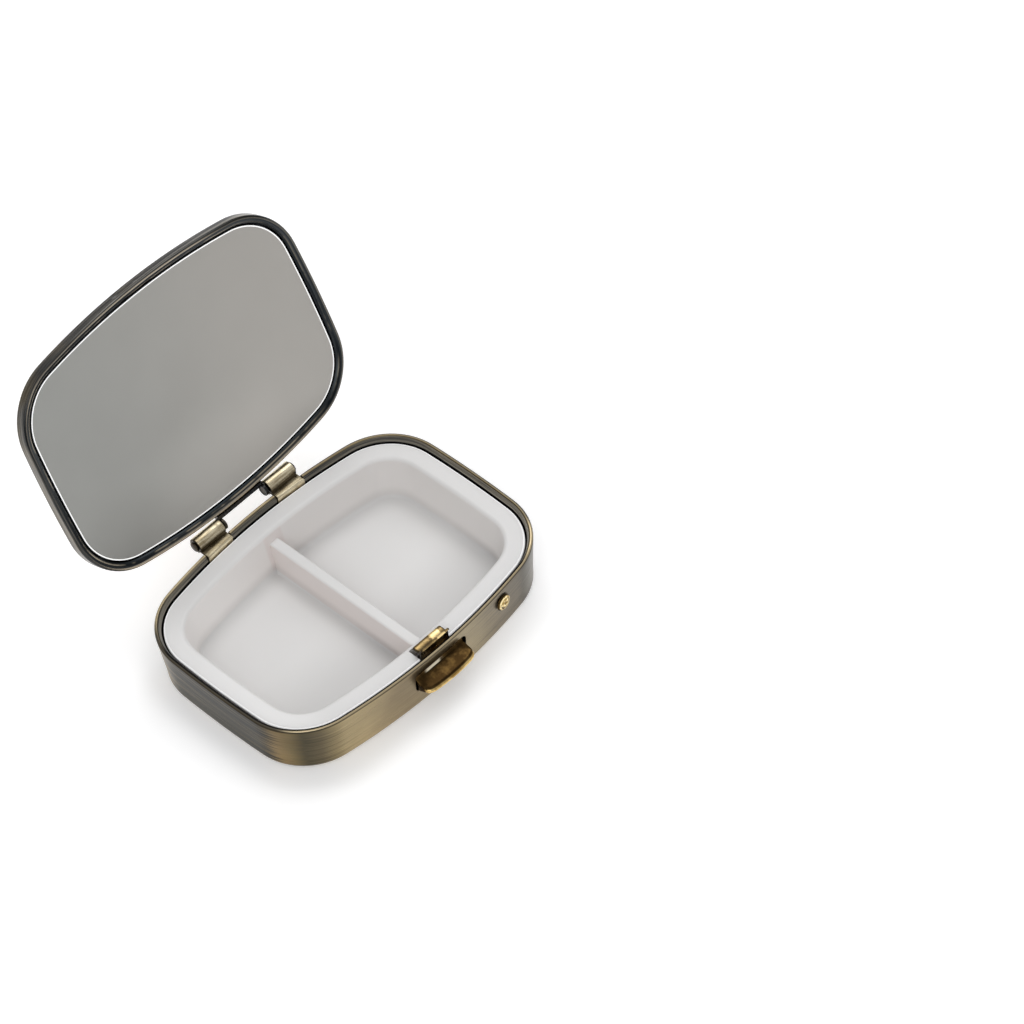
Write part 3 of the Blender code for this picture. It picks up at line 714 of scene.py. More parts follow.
def plastic_finish(edge, foot):
    """White moulded plastic with painted light: walls lighter and warmer than flat faces, lighter to the
    left, painted shade round the floors, and a painted highlight that glows a little along its edge.

    edge is the V of the outer edge's painted highlight, foot the V where the cell's floor begins.
    """
    finish = Finish("white_plastic", Subsurface_Weight=0.15, Subsurface_Scale=0.0008,
                    Subsurface_Radius=(1.0, 0.94, 0.9), IOR=1.46, Emission_Color=(1, 1, 1, 1))
    x, y, z = finish.axes()
    beside = finish.size(x)
    across = finish.uv()[1]
    flat = finish.blend(finish.noise(18, 2.0), 0.35, 0.65, (0.79, 0.783, 0.772), (0.808, 0.8, 0.79))
    # painted light: lighter towards the left end
    flat = finish.scaled(flat, finish.ramp(x, -26, -18, 1.12, 1.0))
    # painted light: walls lighter and warmer, lighter to the left and darker to the right
    wall = finish.blend(beside, DIVIDER_HALF + 0.6, DIVIDER_HALF + 1.2, (0.86, 0.8, 0.775),
                        (0.9, 0.872, 0.85))
    wall = finish.scaled(wall, finish.ramp(x, -20, 8, 1.08, 0.91))
    # painted light: walls and flat faces take different tones by their facing
    tone = finish.blend(finish.normal()[2], 0.2, 0.8, wall, flat)
    # painted shade: round the floors, beside the divider and toward the front
    low = finish.ramp(z, CELL_FLOOR + 0.2, CELL_FLOOR + 2.2, 1.0, 0.0)
    shade = finish.times(finish.ramp(across, foot - 1.2, foot + 3.3, 0.87, 1.0),
                         finish.ramp(beside, 1.2, 4.5, 0.86, 1.0), finish.ramp(y, -10, 1, 0.84, 1.0))
    tone = finish.scaled(tone, finish.plus(finish.times(finish.plus(shade, -1.0), low), 1.0))
    # painted highlight: a white line along the outer edge, which also glows a little
    line = finish.near(across, edge, 0.12, 0.26)
    tone = finish.mix(line, tone, (0.97, 0.97, 0.965))
    finish.drive(Emission_Strength=finish.times(line, 0.25))
    return finish.surface(tone, finish.noise(0.25, 3.0, 0.6), (0.34, 0.46), 0.004)


def mirror_finish():
    """Mirror glass, grey, with painted shade: darker and cooler towards one side, and painted light near
    the hinge.
    """
    finish = Finish("mirror_glass", Metallic=0.72)
    x, _, z = finish.axes()
    # painted shade: darker and cooler towards one side, with slow random blotches
    shade_and_blotch = finish.plus(x, finish.times(finish.noise(30, 1.0, 0.4), 14.0))
    tone = finish.blend(shade_and_blotch, -18, 32, (0.342, 0.344, 0.326), (0.398, 0.382, 0.355))
    # painted light: brighter near the hinge
    painted_brightening = finish.times(finish.ramp(z, 14, 30, 1.0, 0.0), finish.ramp(x, -20, -2),
                           finish.ramp(x, 6, 24, 0.34, 0.02))
    tone = finish.scaled(tone, finish.plus(painted_brightening, 1.0))
    return finish.surface(tone, finish.noise(7), (0.31, 0.35))


def mirror_edge_finish():
    """The mirror's ground edge: frosted, nearly white, glowing a little as a painted highlight."""
    # painted highlight: the edge glows a little
    finish = Finish("mirror_edge", IOR=1.5, Emission_Color=(1, 1, 1, 1), Emission_Strength=0.45)
    frost = finish.noise(0.2, 3.0, 0.6)
    return finish.surface(finish.mix(frost, (0.78, 0.8, 0.79), (0.9, 0.9, 0.88)), frost, (0.3, 0.5))


def mirror_paint_finish():
    """The dark paint on the mirror's side and back."""
    finish = Finish("mirror_paint", IOR=1.45)
    peel = finish.noise(0.5, 3.0, 0.6)
    tone = finish.mix(peel, (0.012, 0.013, 0.014), (0.03, 0.03, 0.032))
    return finish.surface(tone, peel, (0.35, 0.5), 0.01)


def dotted(finish, pitch, size):
    """A printer's dot screen: 1 on the dots, 0 between them."""
    waves = [finish.size(finish.math("SINE", finish.times(length, math.pi / pitch)))
             for length in finish.uv()]
    return finish.ramp(finish.times(*waves), size, size + 0.15)


def paper_finish(name, tint, dots=None):
    """Printed paper: a flat tint with paper grain, and a dot screen where the print has one."""
    finish = Finish(name, IOR=1.4)
    grain = finish.noise(0.35, 4.0, 0.6)
    deeper = tuple(channel * 0.9 for channel in tint)
    tone = finish.blend(grain, 0.3, 0.7, deeper, tint)
    tone = finish.blend(finish.noise(6, 2.0), 0.4, 0.7, tone, deeper, 0.35)
    if dots:
        tone = finish.mix(finish.times(dotted(finish, 0.42, 0.55), 0.7), tone, dots)
    return finish.surface(tone, grain, (0.5, 0.62), 0.003)


def clear_finish():
    """Clear resin: see-through, with a gloss that grows at grazing angles."""
    finish = Finish("clear_resin", Roughness=0.04, IOR=1.45)
    ripple = finish.bump(finish.noise(9, 2.0), 0.01)
    gloss = finish.node("BsdfGlossy", Color=(0.95, 0.95, 0.95), Roughness=0.05, Normal=ripple)
    clear = finish.node("BsdfTransparent", Color=(0.99, 0.99, 0.985))
    facing = finish.node("LayerWeight", Blend=0.5, Normal=ripple).outputs["Facing"]
    share = finish.ramp(finish.math("POWER", facing, 4.0), 0.0, 1.0, 0.012, 0.35)
    mixed = finish.node("MixShader", i0=share, i1=clear.outputs[0], i2=gloss.outputs[0])
    output = finish.tree.nodes["Material Output"]
    finish.tree.links.new(mixed.outputs[0], output.inputs["Surface"])
    return finish.material


def foam_finish():
    """Double-sided foam pad: off-white, porous."""
    finish = Finish("adhesive_foam")
    pores = finish.node("TexVoronoi", Vector=finish.place(0.4), Scale=1.0).outputs["Distance"]
    finish.drive(Base_Color=finish.blend(pores, 0.1, 0.5, (0.6, 0.59, 0.56), (0.84, 0.83, 0.8)),
                 Roughness=finish.ramp(pores, 0.1, 0.6, 0.9, 0.7), Normal=finish.bump(pores, 0.05))
    return finish.material


# ---------------------------------------------------------------- base pieces

def base_shell():
    """The pressed shell: rounded foot, leaning wall, rolled lip, window, rivet hole, notches."""
    inner = BASE_TAPER + SHEET
    lip_z = BASE_HEIGHT - LIP_RADIUS - 0.005
    profile = [(BASE_TAPER + 3.0, 0.12), (BASE_TAPER + 2.4, 0.0)]
    profile += bend(BASE_TAPER + 1.1, FOOT_RADIUS, FOOT_RADIUS, -90, -3, 12)
    profile += [(BASE_TAPER * (1 - t), FOOT_RADIUS + (lip_z - FOOT_RADIUS) * t)
                for t in (0.1, 0.3, 0.5, 0.7, 0.9)]
    lip_start = len(profile)
    profile += bend(LIP_RADIUS, lip_z, LIP_RADIUS, 0, 144, 16)
    lip_end = len(profile)
    profile += [(LIP_FOLD - 0.3, 9.58), (LIP_FOLD - 0.12, 9.3), (LIP_FOLD - 0.02, 9.1), (LIP_FOLD, 8.98),
                (LIP_FOLD - 0.06, 8.92), (LIP_FOLD - 0.25, 8.95)]
    profile += [(SHEET + 0.1, 9.0), (SHEET + 0.1, 8.6), (inner, FLOOR_TOP + 0.8)]
    profile += bend(inner + 0.6, FLOOR_TOP + 0.6, 0.6, 0, -90, 6)
    lengths = distances(profile)
    finish = shell_finish(lengths[lip_start + 10], lengths[lip_end + 3])
    obj = to_object("shell_of_base", shell(profile))
    hole = turned([(RIVET_SHANK + 0.2, -2), (RIVET_SHANK + 0.2, 2)], 32)
    window = window_block(WINDOW_HALF, WINDOW_LOW, WINDOW_HIGH, WINDOW_CORNER, -HALF_WIDTH - 3,
                          3 - HALF_WIDTH)
    cuts = [(window, "DIFFERENCE"),
            (moved(hole, wall_frame(RIVET_X, RIVET_Z, RIVET_INSET)), "DIFFERENCE")]
    for side in (-1, 1):
        left, right = sorted((side * (BARREL_LOW.x - 0.15), side * (BARREL_HIGH.x + 0.15)))
        for front, rear, depth in ((19.0, 22.5, 0.55), (18.5, 19.9, 1.7)):
            notch = block((left, front, BASE_HEIGHT - depth), (right, rear, BASE_HEIGHT + 1))
            cuts.append((notch, "DIFFERENCE"))
    combine(obj, cuts)
    finish_piece(obj, "base", [finish], ["base_shell"])


def tray():
    """The white liner: round-edged flange, sloping cell walls, rounded divider, catch notch."""
    flange_low = TRAY_TOP - TRAY_FLANGE
    edge = 0.22
    wall_run = math.tan(CELL_SLOPE)
    top_z = TRAY_TOP - CELL_ROUND
    wall_top = CELL_TOP - CELL_ROUND * math.cos(CELL_SLOPE)
    fillet_z = CELL_FLOOR + CELL_FILLET
    fillet_top = fillet_z - CELL_FILLET * math.sin(CELL_SLOPE)
    start_z = top_z + CELL_ROUND * math.sin(CELL_SLOPE)
    foot = CELL_TOP + (start_z - fillet_top) * wall_run
    fillet = foot + CELL_FILLET * math.cos(CELL_SLOPE)
    slope = math.degrees(CELL_SLOPE)
    profile = [(foot - TRAY_WALL + 1.4, TRAY_UNDERSIDE), (foot - TRAY_WALL + 0.3, TRAY_UNDERSIDE + 0.3),
               (foot - TRAY_WALL, TRAY_UNDERSIDE + 0.9), (CELL_TOP - TRAY_WALL - 0.1, flange_low - 0.2),
               (CELL_TOP - TRAY_WALL - 0.3, flange_low), (TRAY_INSET + 0.1, flange_low),
               (TRAY_INSET, flange_low + 0.1)]
    outer_edge = len(profile) + 4
    profile += bend(TRAY_INSET + edge, TRAY_TOP - edge, edge, 0, 90, 8)
    profile += bend(wall_top, top_z, CELL_ROUND, 90, 180 - slope, 14)
    profile += [(CELL_TOP + (start_z - z) * wall_run, z) for z in spaced(start_z, fillet_top, 6)[1:-1]]
    profile += bend(fillet, fillet_z, CELL_FILLET, -slope, -90, 10)
    foot_ring = len(profile) - 1
    profile += [(fillet + step, CELL_FLOOR) for step in (0.7, 1.5, 2.4, 3.3)]
    lengths = distances(profile)
    finish = plastic_finish(lengths[outer_edge], lengths[foot_ring])
    obj = to_object("tray_liner", shell(profile))

    foot_half, foot_round, crest = DIVIDER_HALF + 0.25, 0.5, 0.38
    side = [(foot_half + foot_round, CELL_FLOOR - 0.3)]
    side += [(foot_half + foot_round * (1 - math.cos(t)), CELL_FLOOR + foot_round * (1 - math.sin(t)))
             for t in spaced(math.pi / 2, 0, 6)]
    side += [(DIVIDER_HALF - crest * (1 - math.cos(t)), DIVIDER_TOP - crest * (1 - math.sin(t)))
             for t in spaced(0, math.pi / 2, 8)]
    section = side + [(-x, z) for x, z in reversed(side)]
    reach = HALF_WIDTH - CELL_TOP + 0.3
    loops = [[(x, y, z) for x, z in section] for y in (-reach, reach)]
    clear_of_lines = 100
    divider = skin(loops, [clear_of_lines, clear_of_lines + 2 * reach], distances(section, closed=True))
    notch = window_block(NOTCH_HALF, flange_low - 1.5, TRAY_TOP + 1.5, 0.3, -HALF_WIDTH - 1, -NOTCH_REAR)
    combine(obj, [(divider, "UNION"), (notch, "DIFFERENCE")])
    finish_piece(obj, "base", [finish], ["pill_tray"], smooth=30)


def hinge_arc(radius, start, end, steps):
    """(y, z) points on a circle about the hinge axis, angles in degrees."""
    return [(HINGE_Y + radius * math.cos(math.radians(t)), HINGE_Z + radius * math.sin(math.radians(t)))
            for t in spaced(start, end, steps)]


def hinge_frame(side):
    """A frame on the hinge axis whose Z points to one side of the box."""
    return Matrix.Translation((0, HINGE_Y, HINGE_Z)) @ Matrix.Rotation(side * math.pi / 2, 4, "Y")


def hinge_barrels(steel):
    """The base's two curled barrels with their straps, and a round-headed pin in each."""
    strap_low, strap_high = BASE_HEIGHT - 0.4, BASE_HEIGHT - 0.08
    flange_out, flange_in, flange_end = 0.87, 1.14, BASE_HEIGHT - 1.6
    near, far = BARREL_LOW.x, BARREL_HIGH.x
    edge, turns = 0.16, 48

    def section(x):
        ease = fallen(min(abs(x) - near, far - abs(x)), edge, edge)
        outer = hinge_arc(BARREL_RADIUS - ease, -100, 205, turns)
        inner = hinge_arc(BARREL_BORE + ease * 0.5, 205, -118, turns)
        rear = side_y(x)
        strap = [(HINGE_Y - 0.85, strap_high - ease), (rear - flange_in + 0.12, strap_high - ease),
                 (rear - flange_in, strap_high - 0.12), (rear - flange_in, flange_end),
                 (rear - flange_out, flange_end), (rear - flange_out, strap_low),
                 (HINGE_Y - 0.9, strap_low), (HINGE_Y - 0.5, HINGE_Z - BARREL_RADIUS + 0.08)]
        return outer + inner + strap

    lengths = distances(section((near + far) / 2))
    finish = hinge_finish(lengths[turns], lengths[2 * turns + 2])
    ends = [near + edge * t for t in (0, 0.12, 0.35, 0.65, 1)]
    xs = ends + spaced(near + edge, far - edge, 8)[1:-1] + [near + far - x for x in reversed(ends)]
    head = far + 0.15
    for word, side in (("left", -1), ("right", 1)):
        barrel = to_object(f"barrel_{word}", strip(section, [side * x for x in xs]))
        finish_piece(barrel, "base", [finish], [f"hinge_barrel_{word}"])
        dome = [(PIN_HEAD * math.cos(t), head + 0.12 + 0.18 * math.sin(t))
                for t in spaced(0, math.pi / 2 * 0.97, 8)]
        profile = [(PIN_RADIUS, EAR_NEAR + 0.05), (PIN_RADIUS, head), (PIN_HEAD - 0.05, head),
                   (PIN_HEAD, head + 0.05)] + dome
        pin = to_object(f"pin_{word}", moved(turned(profile), hinge_frame(side)))
        finish_piece(pin, "base", [steel], [f"hinge_pin_{word}"])


def rivet():
    """The spring's rivet: a low dome with a plain sunk ring and a centre dimple."""
    low, high = 0.42, 0.92
    dome = [(0.06, high - 0.13), (0.22, high - 0.1), (0.34, high - 0.02), (0.5, high), (0.66, high - 0.02),
            (0.78, high - 0.1), (0.88, high - 0.1), (1.0, high - 0.05), (1.15, high - 0.1),
            (RIVET_HEAD - 0.2, high - 0.18), (RIVET_HEAD - 0.06, high - 0.3), (RIVET_HEAD, low + 0.08),
            (RIVET_HEAD - 0.04, low)]
    stem = [(RIVET_SHANK, low), (RIVET_SHANK, 0.25 - RIVET_DEPTH), (RIVET_TAIL, 0.25 - RIVET_DEPTH),
            (RIVET_TAIL, 0.1 - RIVET_DEPTH), (RIVET_TAIL - 0.1, -RIVET_DEPTH)]
    lengths = distances(dome)
    finish = rivet_finish(lengths[9], (lengths[1], lengths[6]))
    head = moved(turned(dome + stem, 64), wall_frame(RIVET_X, RIVET_Z, RIVET_INSET))
    obj = to_object("rivet_of_spring", head)
    finish_piece(obj, "base", [finish], ["spring_rivet"], smooth=50)


# ---------------------------------------------------------------- catch pieces

def button():
    """The thumb piece: a sloping, dished ledge with a rounded front edge and a rear fillet."""
    half = BUTTON_HALF
    back = 1.15 - side_y(0)
    corner, edge, lip = 1.3, 0.3, 0.38
    nose_z, fillet_radius = 5.28, 0.5

    def reach(x):
        past = max(0.0, abs(x) - (half - corner)) / corner
        return BUTTON_REACH * (1 - 0.25 * past * past) + 0.3 * (1 - (x / half) ** 2)

    def section(x):
        ease = fallen(half - abs(x), edge, edge)
        wall = -side_y(x)
        tip = wall - reach(x) + ease
        nose = [(tip + lip - lip * math.cos(t), nose_z + (lip - ease * 0.5) * math.sin(t))
                for t in spaced(math.radians(75), math.radians(-70), 14)]
        fillet = [(back - 0.25 - fillet_radius * (1 - math.cos(t)),
                   BUTTON_HIGH - 0.05 - ease * 0.7 - fillet_radius * math.sin(t))
                  for t in spaced(0, math.radians(72), 6)]
        start_y, start_z = fillet[-1]
        dish = [(start_y + (tip + 0.42 - start_y) * s,
                 start_z + (5.8 - start_z) * s - 0.08 * math.sin(math.pi * s)) for s in spaced(0, 1, 6)[1:]]
        return ([(back, BUTTON_LOW + ease), (back, BUTTON_HIGH - ease)] + fillet + dish + nose
                + [(wall, BUTTON_LOW + ease)])

    ends = [-half + edge * t for t in (0, 0.1, 0.3, 0.6, 1)]
    xs = ends + spaced(-half + edge, half - edge, 28)[1:-1] + [-x for x in reversed(ends)]
    lengths = distances(section(0.0))
    finish = button_finish(lengths[6], lengths[15], lengths[29])
    obj = to_object("thumb_piece", strip(section, xs))
    finish_piece(obj, "latch", [finish], ["push_button"], smooth=40)


def catch(finish):
    """The carrier plate behind the wall, with the round-nosed hook bent from its top."""
    front, rear = CATCH_FRONT, CATCH_FRONT + CATCH_SHEET

    def hook(x):
        ease = fallen(HOOK_HALF - abs(x), HOOK_END, 0.12)
        return [(front, 5.0), (front, 10.4), (front - 0.12, 10.85), (front - 0.38, 10.98),
                (front - 0.43 + ease, 11.06), (front - 0.4 + ease, 11.17 - ease),
                (front - 0.2, 11.25 - ease), (front - 0.03, 11.18 - ease), (front - 0.07, 10.9),
                (rear - 0.12, 10.62), (rear, 10.5 - ease), (rear + 0.3, 10.36 - ease),
                (-18.3, 10.33 - ease), (-17.85 - ease, 10.3 - ease), (-17.72 - ease, 10.2 - ease),
                (-17.71 - ease, 10.1), (-17.78, 9.99), (rear + 0.25, 10.02), (rear + 0.06, 9.97),
                (rear, 9.85), (rear, 5.0)]

    sides = [HOOK_HALF - HOOK_END * t for t in (0, 0.1, 0.4, 1)]
    xs = [-x for x in sides] + [0.0] + list(reversed(sides))
    obj = to_object("catch_and_carrier", strip(hook, xs))
    carrier = block((CARRIER_LEFT, front + 0.02, CARRIER_LOW), (CARRIER_RIGHT, rear - 0.02, CARRIER_HIGH))
    hole = turned([(BLADE_RIVET_RADIUS, -1), (BLADE_RIVET_RADIUS, 1)], 24)
    place = Matrix.Translation((BLADE_RIVET_X, front, RIVET_Z)) @ Matrix.Rotation(math.pi / 2, 4, "X")
    combine(obj, [(carrier, "UNION"), (moved(hole, place), "DIFFERENCE")])
    finish_piece(obj, "latch", [finish], ["catch_plate"], smooth=40)


# ---------------------------------------------------------------- lid pieces

DENTS = ((-3.2, 11.45, 0.38, 0.1), (1.0, 11.25, 0.3, 0.07))     # x, z, radius and depth


def lid_shell():
    """The pressed lid: rolled lower edge with a gap for the hook, band with two small dents, deck."""
    roll = LID_INSET + ROLL_RADIUS
    roll_z = LID_BOTTOM + ROLL_RADIUS
    inside = LID_INSET + SHEET
    deck_end = BEZEL_INNER + 2
    under = [(deck_end, LID_DECK - SHEET)] + bend(inside + 0.25, LID_DECK - SHEET - 0.25, 0.25, 90, 0, 6)
    under += [(inside, LID_BOTTOM + 0.9), (LID_FOLD - 0.3, LID_BOTTOM + 1.0), (LID_FOLD - 0.06, 11.03),
              (LID_FOLD, 10.96), (LID_FOLD - 0.02, 10.84), (LID_FOLD - 0.16, 10.6), (LID_FOLD - 0.4, 10.38),
              (LID_FOLD - 0.7, 10.23)]
    under += bend(roll, roll_z, ROLL_RADIUS, -98, 0, 16)
    band = [(LID_INSET, z) for z in spaced(roll_z, BAND_TOP - 0.25, 9)[1:-1]]
    top = bend(LID_INSET + 0.25, BAND_TOP - 0.25, 0.25, 0, 120, 10)
    profile = under + band + top + [(LID_INSET + 0.62, LID_DECK), (deck_end, LID_DECK)]
    bm = shell(profile)
    for vert in bm.verts:
        if vert.co.y > 0 or abs(side_y(vert.co.x, LID_INSET) + vert.co.y) > 0.02:
            continue
        for x, z, radius, depth in DENTS:
            away = ((vert.co.x - x) ** 2 + (vert.co.z - z) ** 2) / radius ** 2
            vert.co.y += depth * math.exp(-away)
    lengths = distances(profile)
    lowest = under.index(min(under, key=lambda point: point[1]))
    finish = lid_finish(lengths[lowest], lengths[len(under)])
    obj = to_object("shell_of_lid", bm)
    gaps = [block((-GAP_HALF, CATCH_FRONT - room, low), (GAP_HALF, GAP_REAR, high))
            for room, low, high in ((0.02, LID_BOTTOM - 0.5, NOSE_LOW + 0.3),
                                    (0.46, NOSE_LOW, NOSE_LOW + 0.5))]
    combine(obj, [(gap, "DIFFERENCE") for gap in gaps])
    finish_piece(obj, "lid", [finish], ["lid_shell"])


def bezel():
    """The round bead that frames the picture, with a plain slope down to it."""
    low = LID_DECK + LAYER_GAP
    radius = 0.82
    middle = BEZEL_OUTER + radius
    profile = [(BEZEL_OUTER + 0.3, low), (BEZEL_OUTER + 0.12, low + 0.08)]
    profile += bend(middle, BEZEL_TOP - radius, radius, -15, 128, 26)
    profile += [(2.62, low + 0.72), (2.9, low + 0.42), (BEZEL_INNER - 0.02, low + 0.3),
                (BEZEL_INNER, low + 0.22), (BEZEL_INNER, low)]
    lengths, crest = distances(profile), 21
    finish = bezel_finish(lengths[crest], lengths[-3])
    obj = to_object("bead_round_picture", shell(profile, closed=True))
    finish_piece(obj, "lid", [finish], ["bezel_ring"])


def mirror(face_finish, edge_finish, backing):
    """The mirror plate: a narrow ground strip round its face, and a painted side and back."""
    chamfer, strip_width = 0.07, 0.19
    profile = [(MIRROR_INSET + chamfer + strip_width, MIRROR_BOTTOM),
               (MIRROR_INSET + chamfer, MIRROR_BOTTOM + 0.004),
               (MIRROR_INSET, MIRROR_BOTTOM + chamfer), (MIRROR_INSET, MIRROR_TOP)]
    bm = shell(profile)
    faces_in_ring = len(TURNS) * 4 - 4
    for i, face in enumerate(bm.faces):
        face.material_index = 1 if i < faces_in_ring else 2
        if len(face.verts) > 4 and face.verts[0].co.z < MIRROR_BOTTOM + 0.01:
            face.material_index = 0
    obj = to_object("mirror_plate", bm)
    finish_piece(obj, "lid", [face_finish, edge_finish, backing], ["mirror"], smooth=20)


def hinge_leaf(finish):
    """The lid's strip between the barrels, with an ear on the pin at each end."""
    gap, back, low, high = 0.12, 21.35, LID_BOTTOM + 0.1, 11.3

    def section(x):
        face = side_y(x, LID_INSET) + gap
        return [(face, low), (back - 0.1, low), (back - 0.02, low + 0.03), (back, low + 0.1),
                (back, high - 0.1), (back - 0.03, high - 0.02), (back - 0.1, high + 0.03),
                (face, high + 0.3)]

    obj = to_object("leaf_of_lid", strip(section, spaced(-EAR_FAR, EAR_FAR, 12)))
    shapes = []
    for side in (-1, 1):
        place = hinge_frame(side)
        ear = turned([(EAR_RADIUS - 0.08, EAR_NEAR), (EAR_RADIUS, EAR_NEAR + 0.08),
                      (EAR_RADIUS, EAR_FAR - 0.09), (EAR_RADIUS - 0.08, EAR_FAR - 0.01)])
        shapes.append((moved(ear, place), "UNION"))
        bore = turned([(PIN_RADIUS + 0.1, 3), (PIN_RADIUS + 0.1, 6)], 32)
        shapes.append((moved(bore, place), "DIFFERENCE"))
    combine(obj, shapes)
    finish_piece(obj, "lid", [finish], ["lid_hinge_leaf"])


# ---------------------------------------------------------------- printed picture

def smooth_line(points, step=0.4):
    """A smooth curve through a few points (a uniform Catmull-Rom spline)."""
    line = [Vector(point) for point in points]
    if len(line) == 2:
        return line
    ends = [line[0] * 2 - line[1]] + line + [line[-1] * 2 - line[-2]]
    out = []
    for a, b, c, d in zip(ends, ends[1:], ends[2:], ends[3:]):
        count = max(2, int((c - b).length / step))
        for i in range(count):
            t = i / count
            out.append(0.5 * ((2 * b) + (c - a) * t + (2 * a - 5 * b + 4 * c - d) * t * t
                              + (3 * b - a - 3 * c + d) * t ** 3))
    return out + [line[-1]]


def add_ribbon(bm, points, width, step=0.4):
    """A flat ribbon along a smooth curve."""
    line = smooth_line(points, step)
    previous = None
    for i, here in enumerate(line):
        along = line[min(i + 1, len(line) - 1)] - line[max(i - 1, 0)]
        aside = Vector((-along.y, along.x)).normalized() * width / 2
        pair = [bm.verts.new((*(here + aside), 0)), bm.verts.new((*(here - aside), 0))]
        if previous:
            bm.faces.new((previous[0], previous[1], pair[1], pair[0]))
        previous = pair


def add_area(bm, points, smooth=True):
    """A flat area inside a closed curve, or inside a plain polygon."""
    line = smooth_line(list(points) + [points[0]], 0.7)[:-1] if smooth else points
    face = bm.faces.new([bm.verts.new((*point, 0)) for point in line])
    bmesh.ops.triangulate(bm, faces=[face])


def add_dot(bm, x, y, radius, steps=20):
    """A flat disc."""
    bm.faces.new([bm.verts.new((x + radius * math.cos(t), y + radius * math.sin(t), 0))
                  for t in spaced(0, math.tau, steps)[:-1]])


def inked(name, bm, layer, finish):
    """Trim flat artwork to the picture's outline and give it the thickness of its ink."""
    edge = outline(PRINT_INSET + 0.02)[::3]
    for start, end in zip(edge, edge[1:] + edge[:1]):
        out = Vector((end[1] - start[1], start[0] - end[0], 0)).normalized()
        geom = bm.verts[:] + bm.edges[:] + bm.faces[:]
        bmesh.ops.bisect_plane(bm, geom=geom, plane_co=(*start, 0), plane_no=out, clear_outer=True,
                               dist=1e-5)
    bmesh.ops.recalc_face_normals(bm, faces=bm.faces)
    for face in bm.faces:
        if face.normal.z < 0:
            face.normal_flip()
    low, high = PRINT_TOP - 0.005, PRINT_TOP + 0.008 * layer
    bmesh.ops.translate(bm, vec=(0, 0, low), verts=bm.verts)
    top = bmesh.ops.extrude_face_region(bm, geom=bm.faces[:], use_keep_orig=True)
    risen = [item for item in top["geom"] if isinstance(item, bmesh.types.BMVert)]
    bmesh.ops.translate(bm, vec=(0, 0, high - low), verts=risen)
    uv = bm.loops.layers.uv.new("UVMap")
    for face in bm.faces:
        for corner in face.loops:
            corner[uv].uv = corner.vert.co.xy
    obj = to_object(name, bm)
    finish_piece(obj, "lid", [finish])


GREEN_EAST = ((7, -3), (8, 2), (6, 5), (7, 9), (9.5, 13), (15, 17), (20, 20), (27, 16), (23, 11),
              (20.5, 8.5), (15.5, 9), (12, 6), (10.5, 2), (9, -2))
GREEN_WEST = ((7, -4.5), (3, -7), (0.5, -11), (-2.5, -15), (-3, -20), (6, -20), (6.5, -13.5), (6, -9.5),
              (7.5, -6))
LAKE = ((8, -4.5), (10, 0), (11, 3.5), (14, 6.5), (17.5, 7.5), (20.5, 7.5), (23, 5), (24.5, 1), (23.5, -3),
        (20, -4.2), (17, -3.5), (13.5, -3.2), (10.5, -4.8))
STRAIT = ((7.5, -5), (6, -9), (6.3, -13), (7.5, -19), (14, -21), (10.5, -15.5), (8, -12), (8.2, -8.5),
          (9.5, -6))
PINK = ((10, -5.3), (8.5, -8.5), (8.3, -12), (10.8, -15.5), (15, -22), (34, -20), (34, -4), (25, -3.8),
        (20, -5), (17, -4.3), (13.5, -4))
ROSE_SHORE = ((15.5, -22), (11.4, -15.5), (9.1, -12), (9, -8.6), (10.4, -5.8), (13.5, -4.3), (17, -4.4),
              (20, -5.2), (25, -4), (33, -4))
ROSE_BORDER = ((24.8, 1), (23.8, 5), (21.6, 8), (23.6, 11), (26.5, 12.3), (33, 13))
NORTH_SHORE = ((24.5, 1.5), (23.3, 5), (21, 8), (23, 11.5), (26, 13), (33, 14), (33, -1), (27, -1))
THICK_ROADS = (
    ((-28, -10), (-25.5, -9.5), (-18.5, -9), (-12.5, -7.5), (-6, -4.3), (2, -2.7), (7, -4.7), (11.5, -7),
     (17, -8.2), (23.5, -8.2), (29, -6)),
    ((-10, 21), (-8, 17), (-3, 11), (1.5, 6), (4, 1), (7, -4.7)),
    ((7, -4.7), (4, -8.3), (1.5, -13), (-0.5, -20)),
)
THIN_ROADS = (
    ((-27, 13), (-17.5, 7.8), (-9, 6), (-2, 3.5), (2, -2.7)),
    ((-27, 0), (-20, -2.5), (-13.5, -3), (-8.5, -4.5), (-6, -4.3)),
    ((-6, -4.3), (-9, -9), (-8, -14), (-11, -20)),
    ((-23, -9), (-22, -14), (-17, -19)),
    ((-17.5, 7.8), (-14, 13), (-16, 20)),
    ((-2, 3.5), (-5, 9), (-12, 15), (-14, 21)),
    ((2, -2.7), (-1, 3), (-1, 9), (3.5, 14), (3, 21)),
    ((4, 1), (7, 5), (6, 12), (8, 17), (7, 21)),
    ((8, 1.5), (12, 4.5), (15.5, 10.5), (20, 15)),
    ((7, -4.7), (10.5, -0.5), (9.5, 5), (11, 11), (14, 19)),
    ((3.3, -8), (-3, -9), (-12.5, -7.5)),
    ((17, -8.2), (16, -13), (19, -20)),
    ((17, -8.2), (21, -12.5), (26, -13)),
    ((11.5, -7), (12.5, -12), (16.5, -15.2), (23, -16)),
    ((-13.5, -3), (-15, 2), (-17.5, 7.8)),
    ((-27, -5.5), (-20, -6), (-12.5, -7.5)),
)
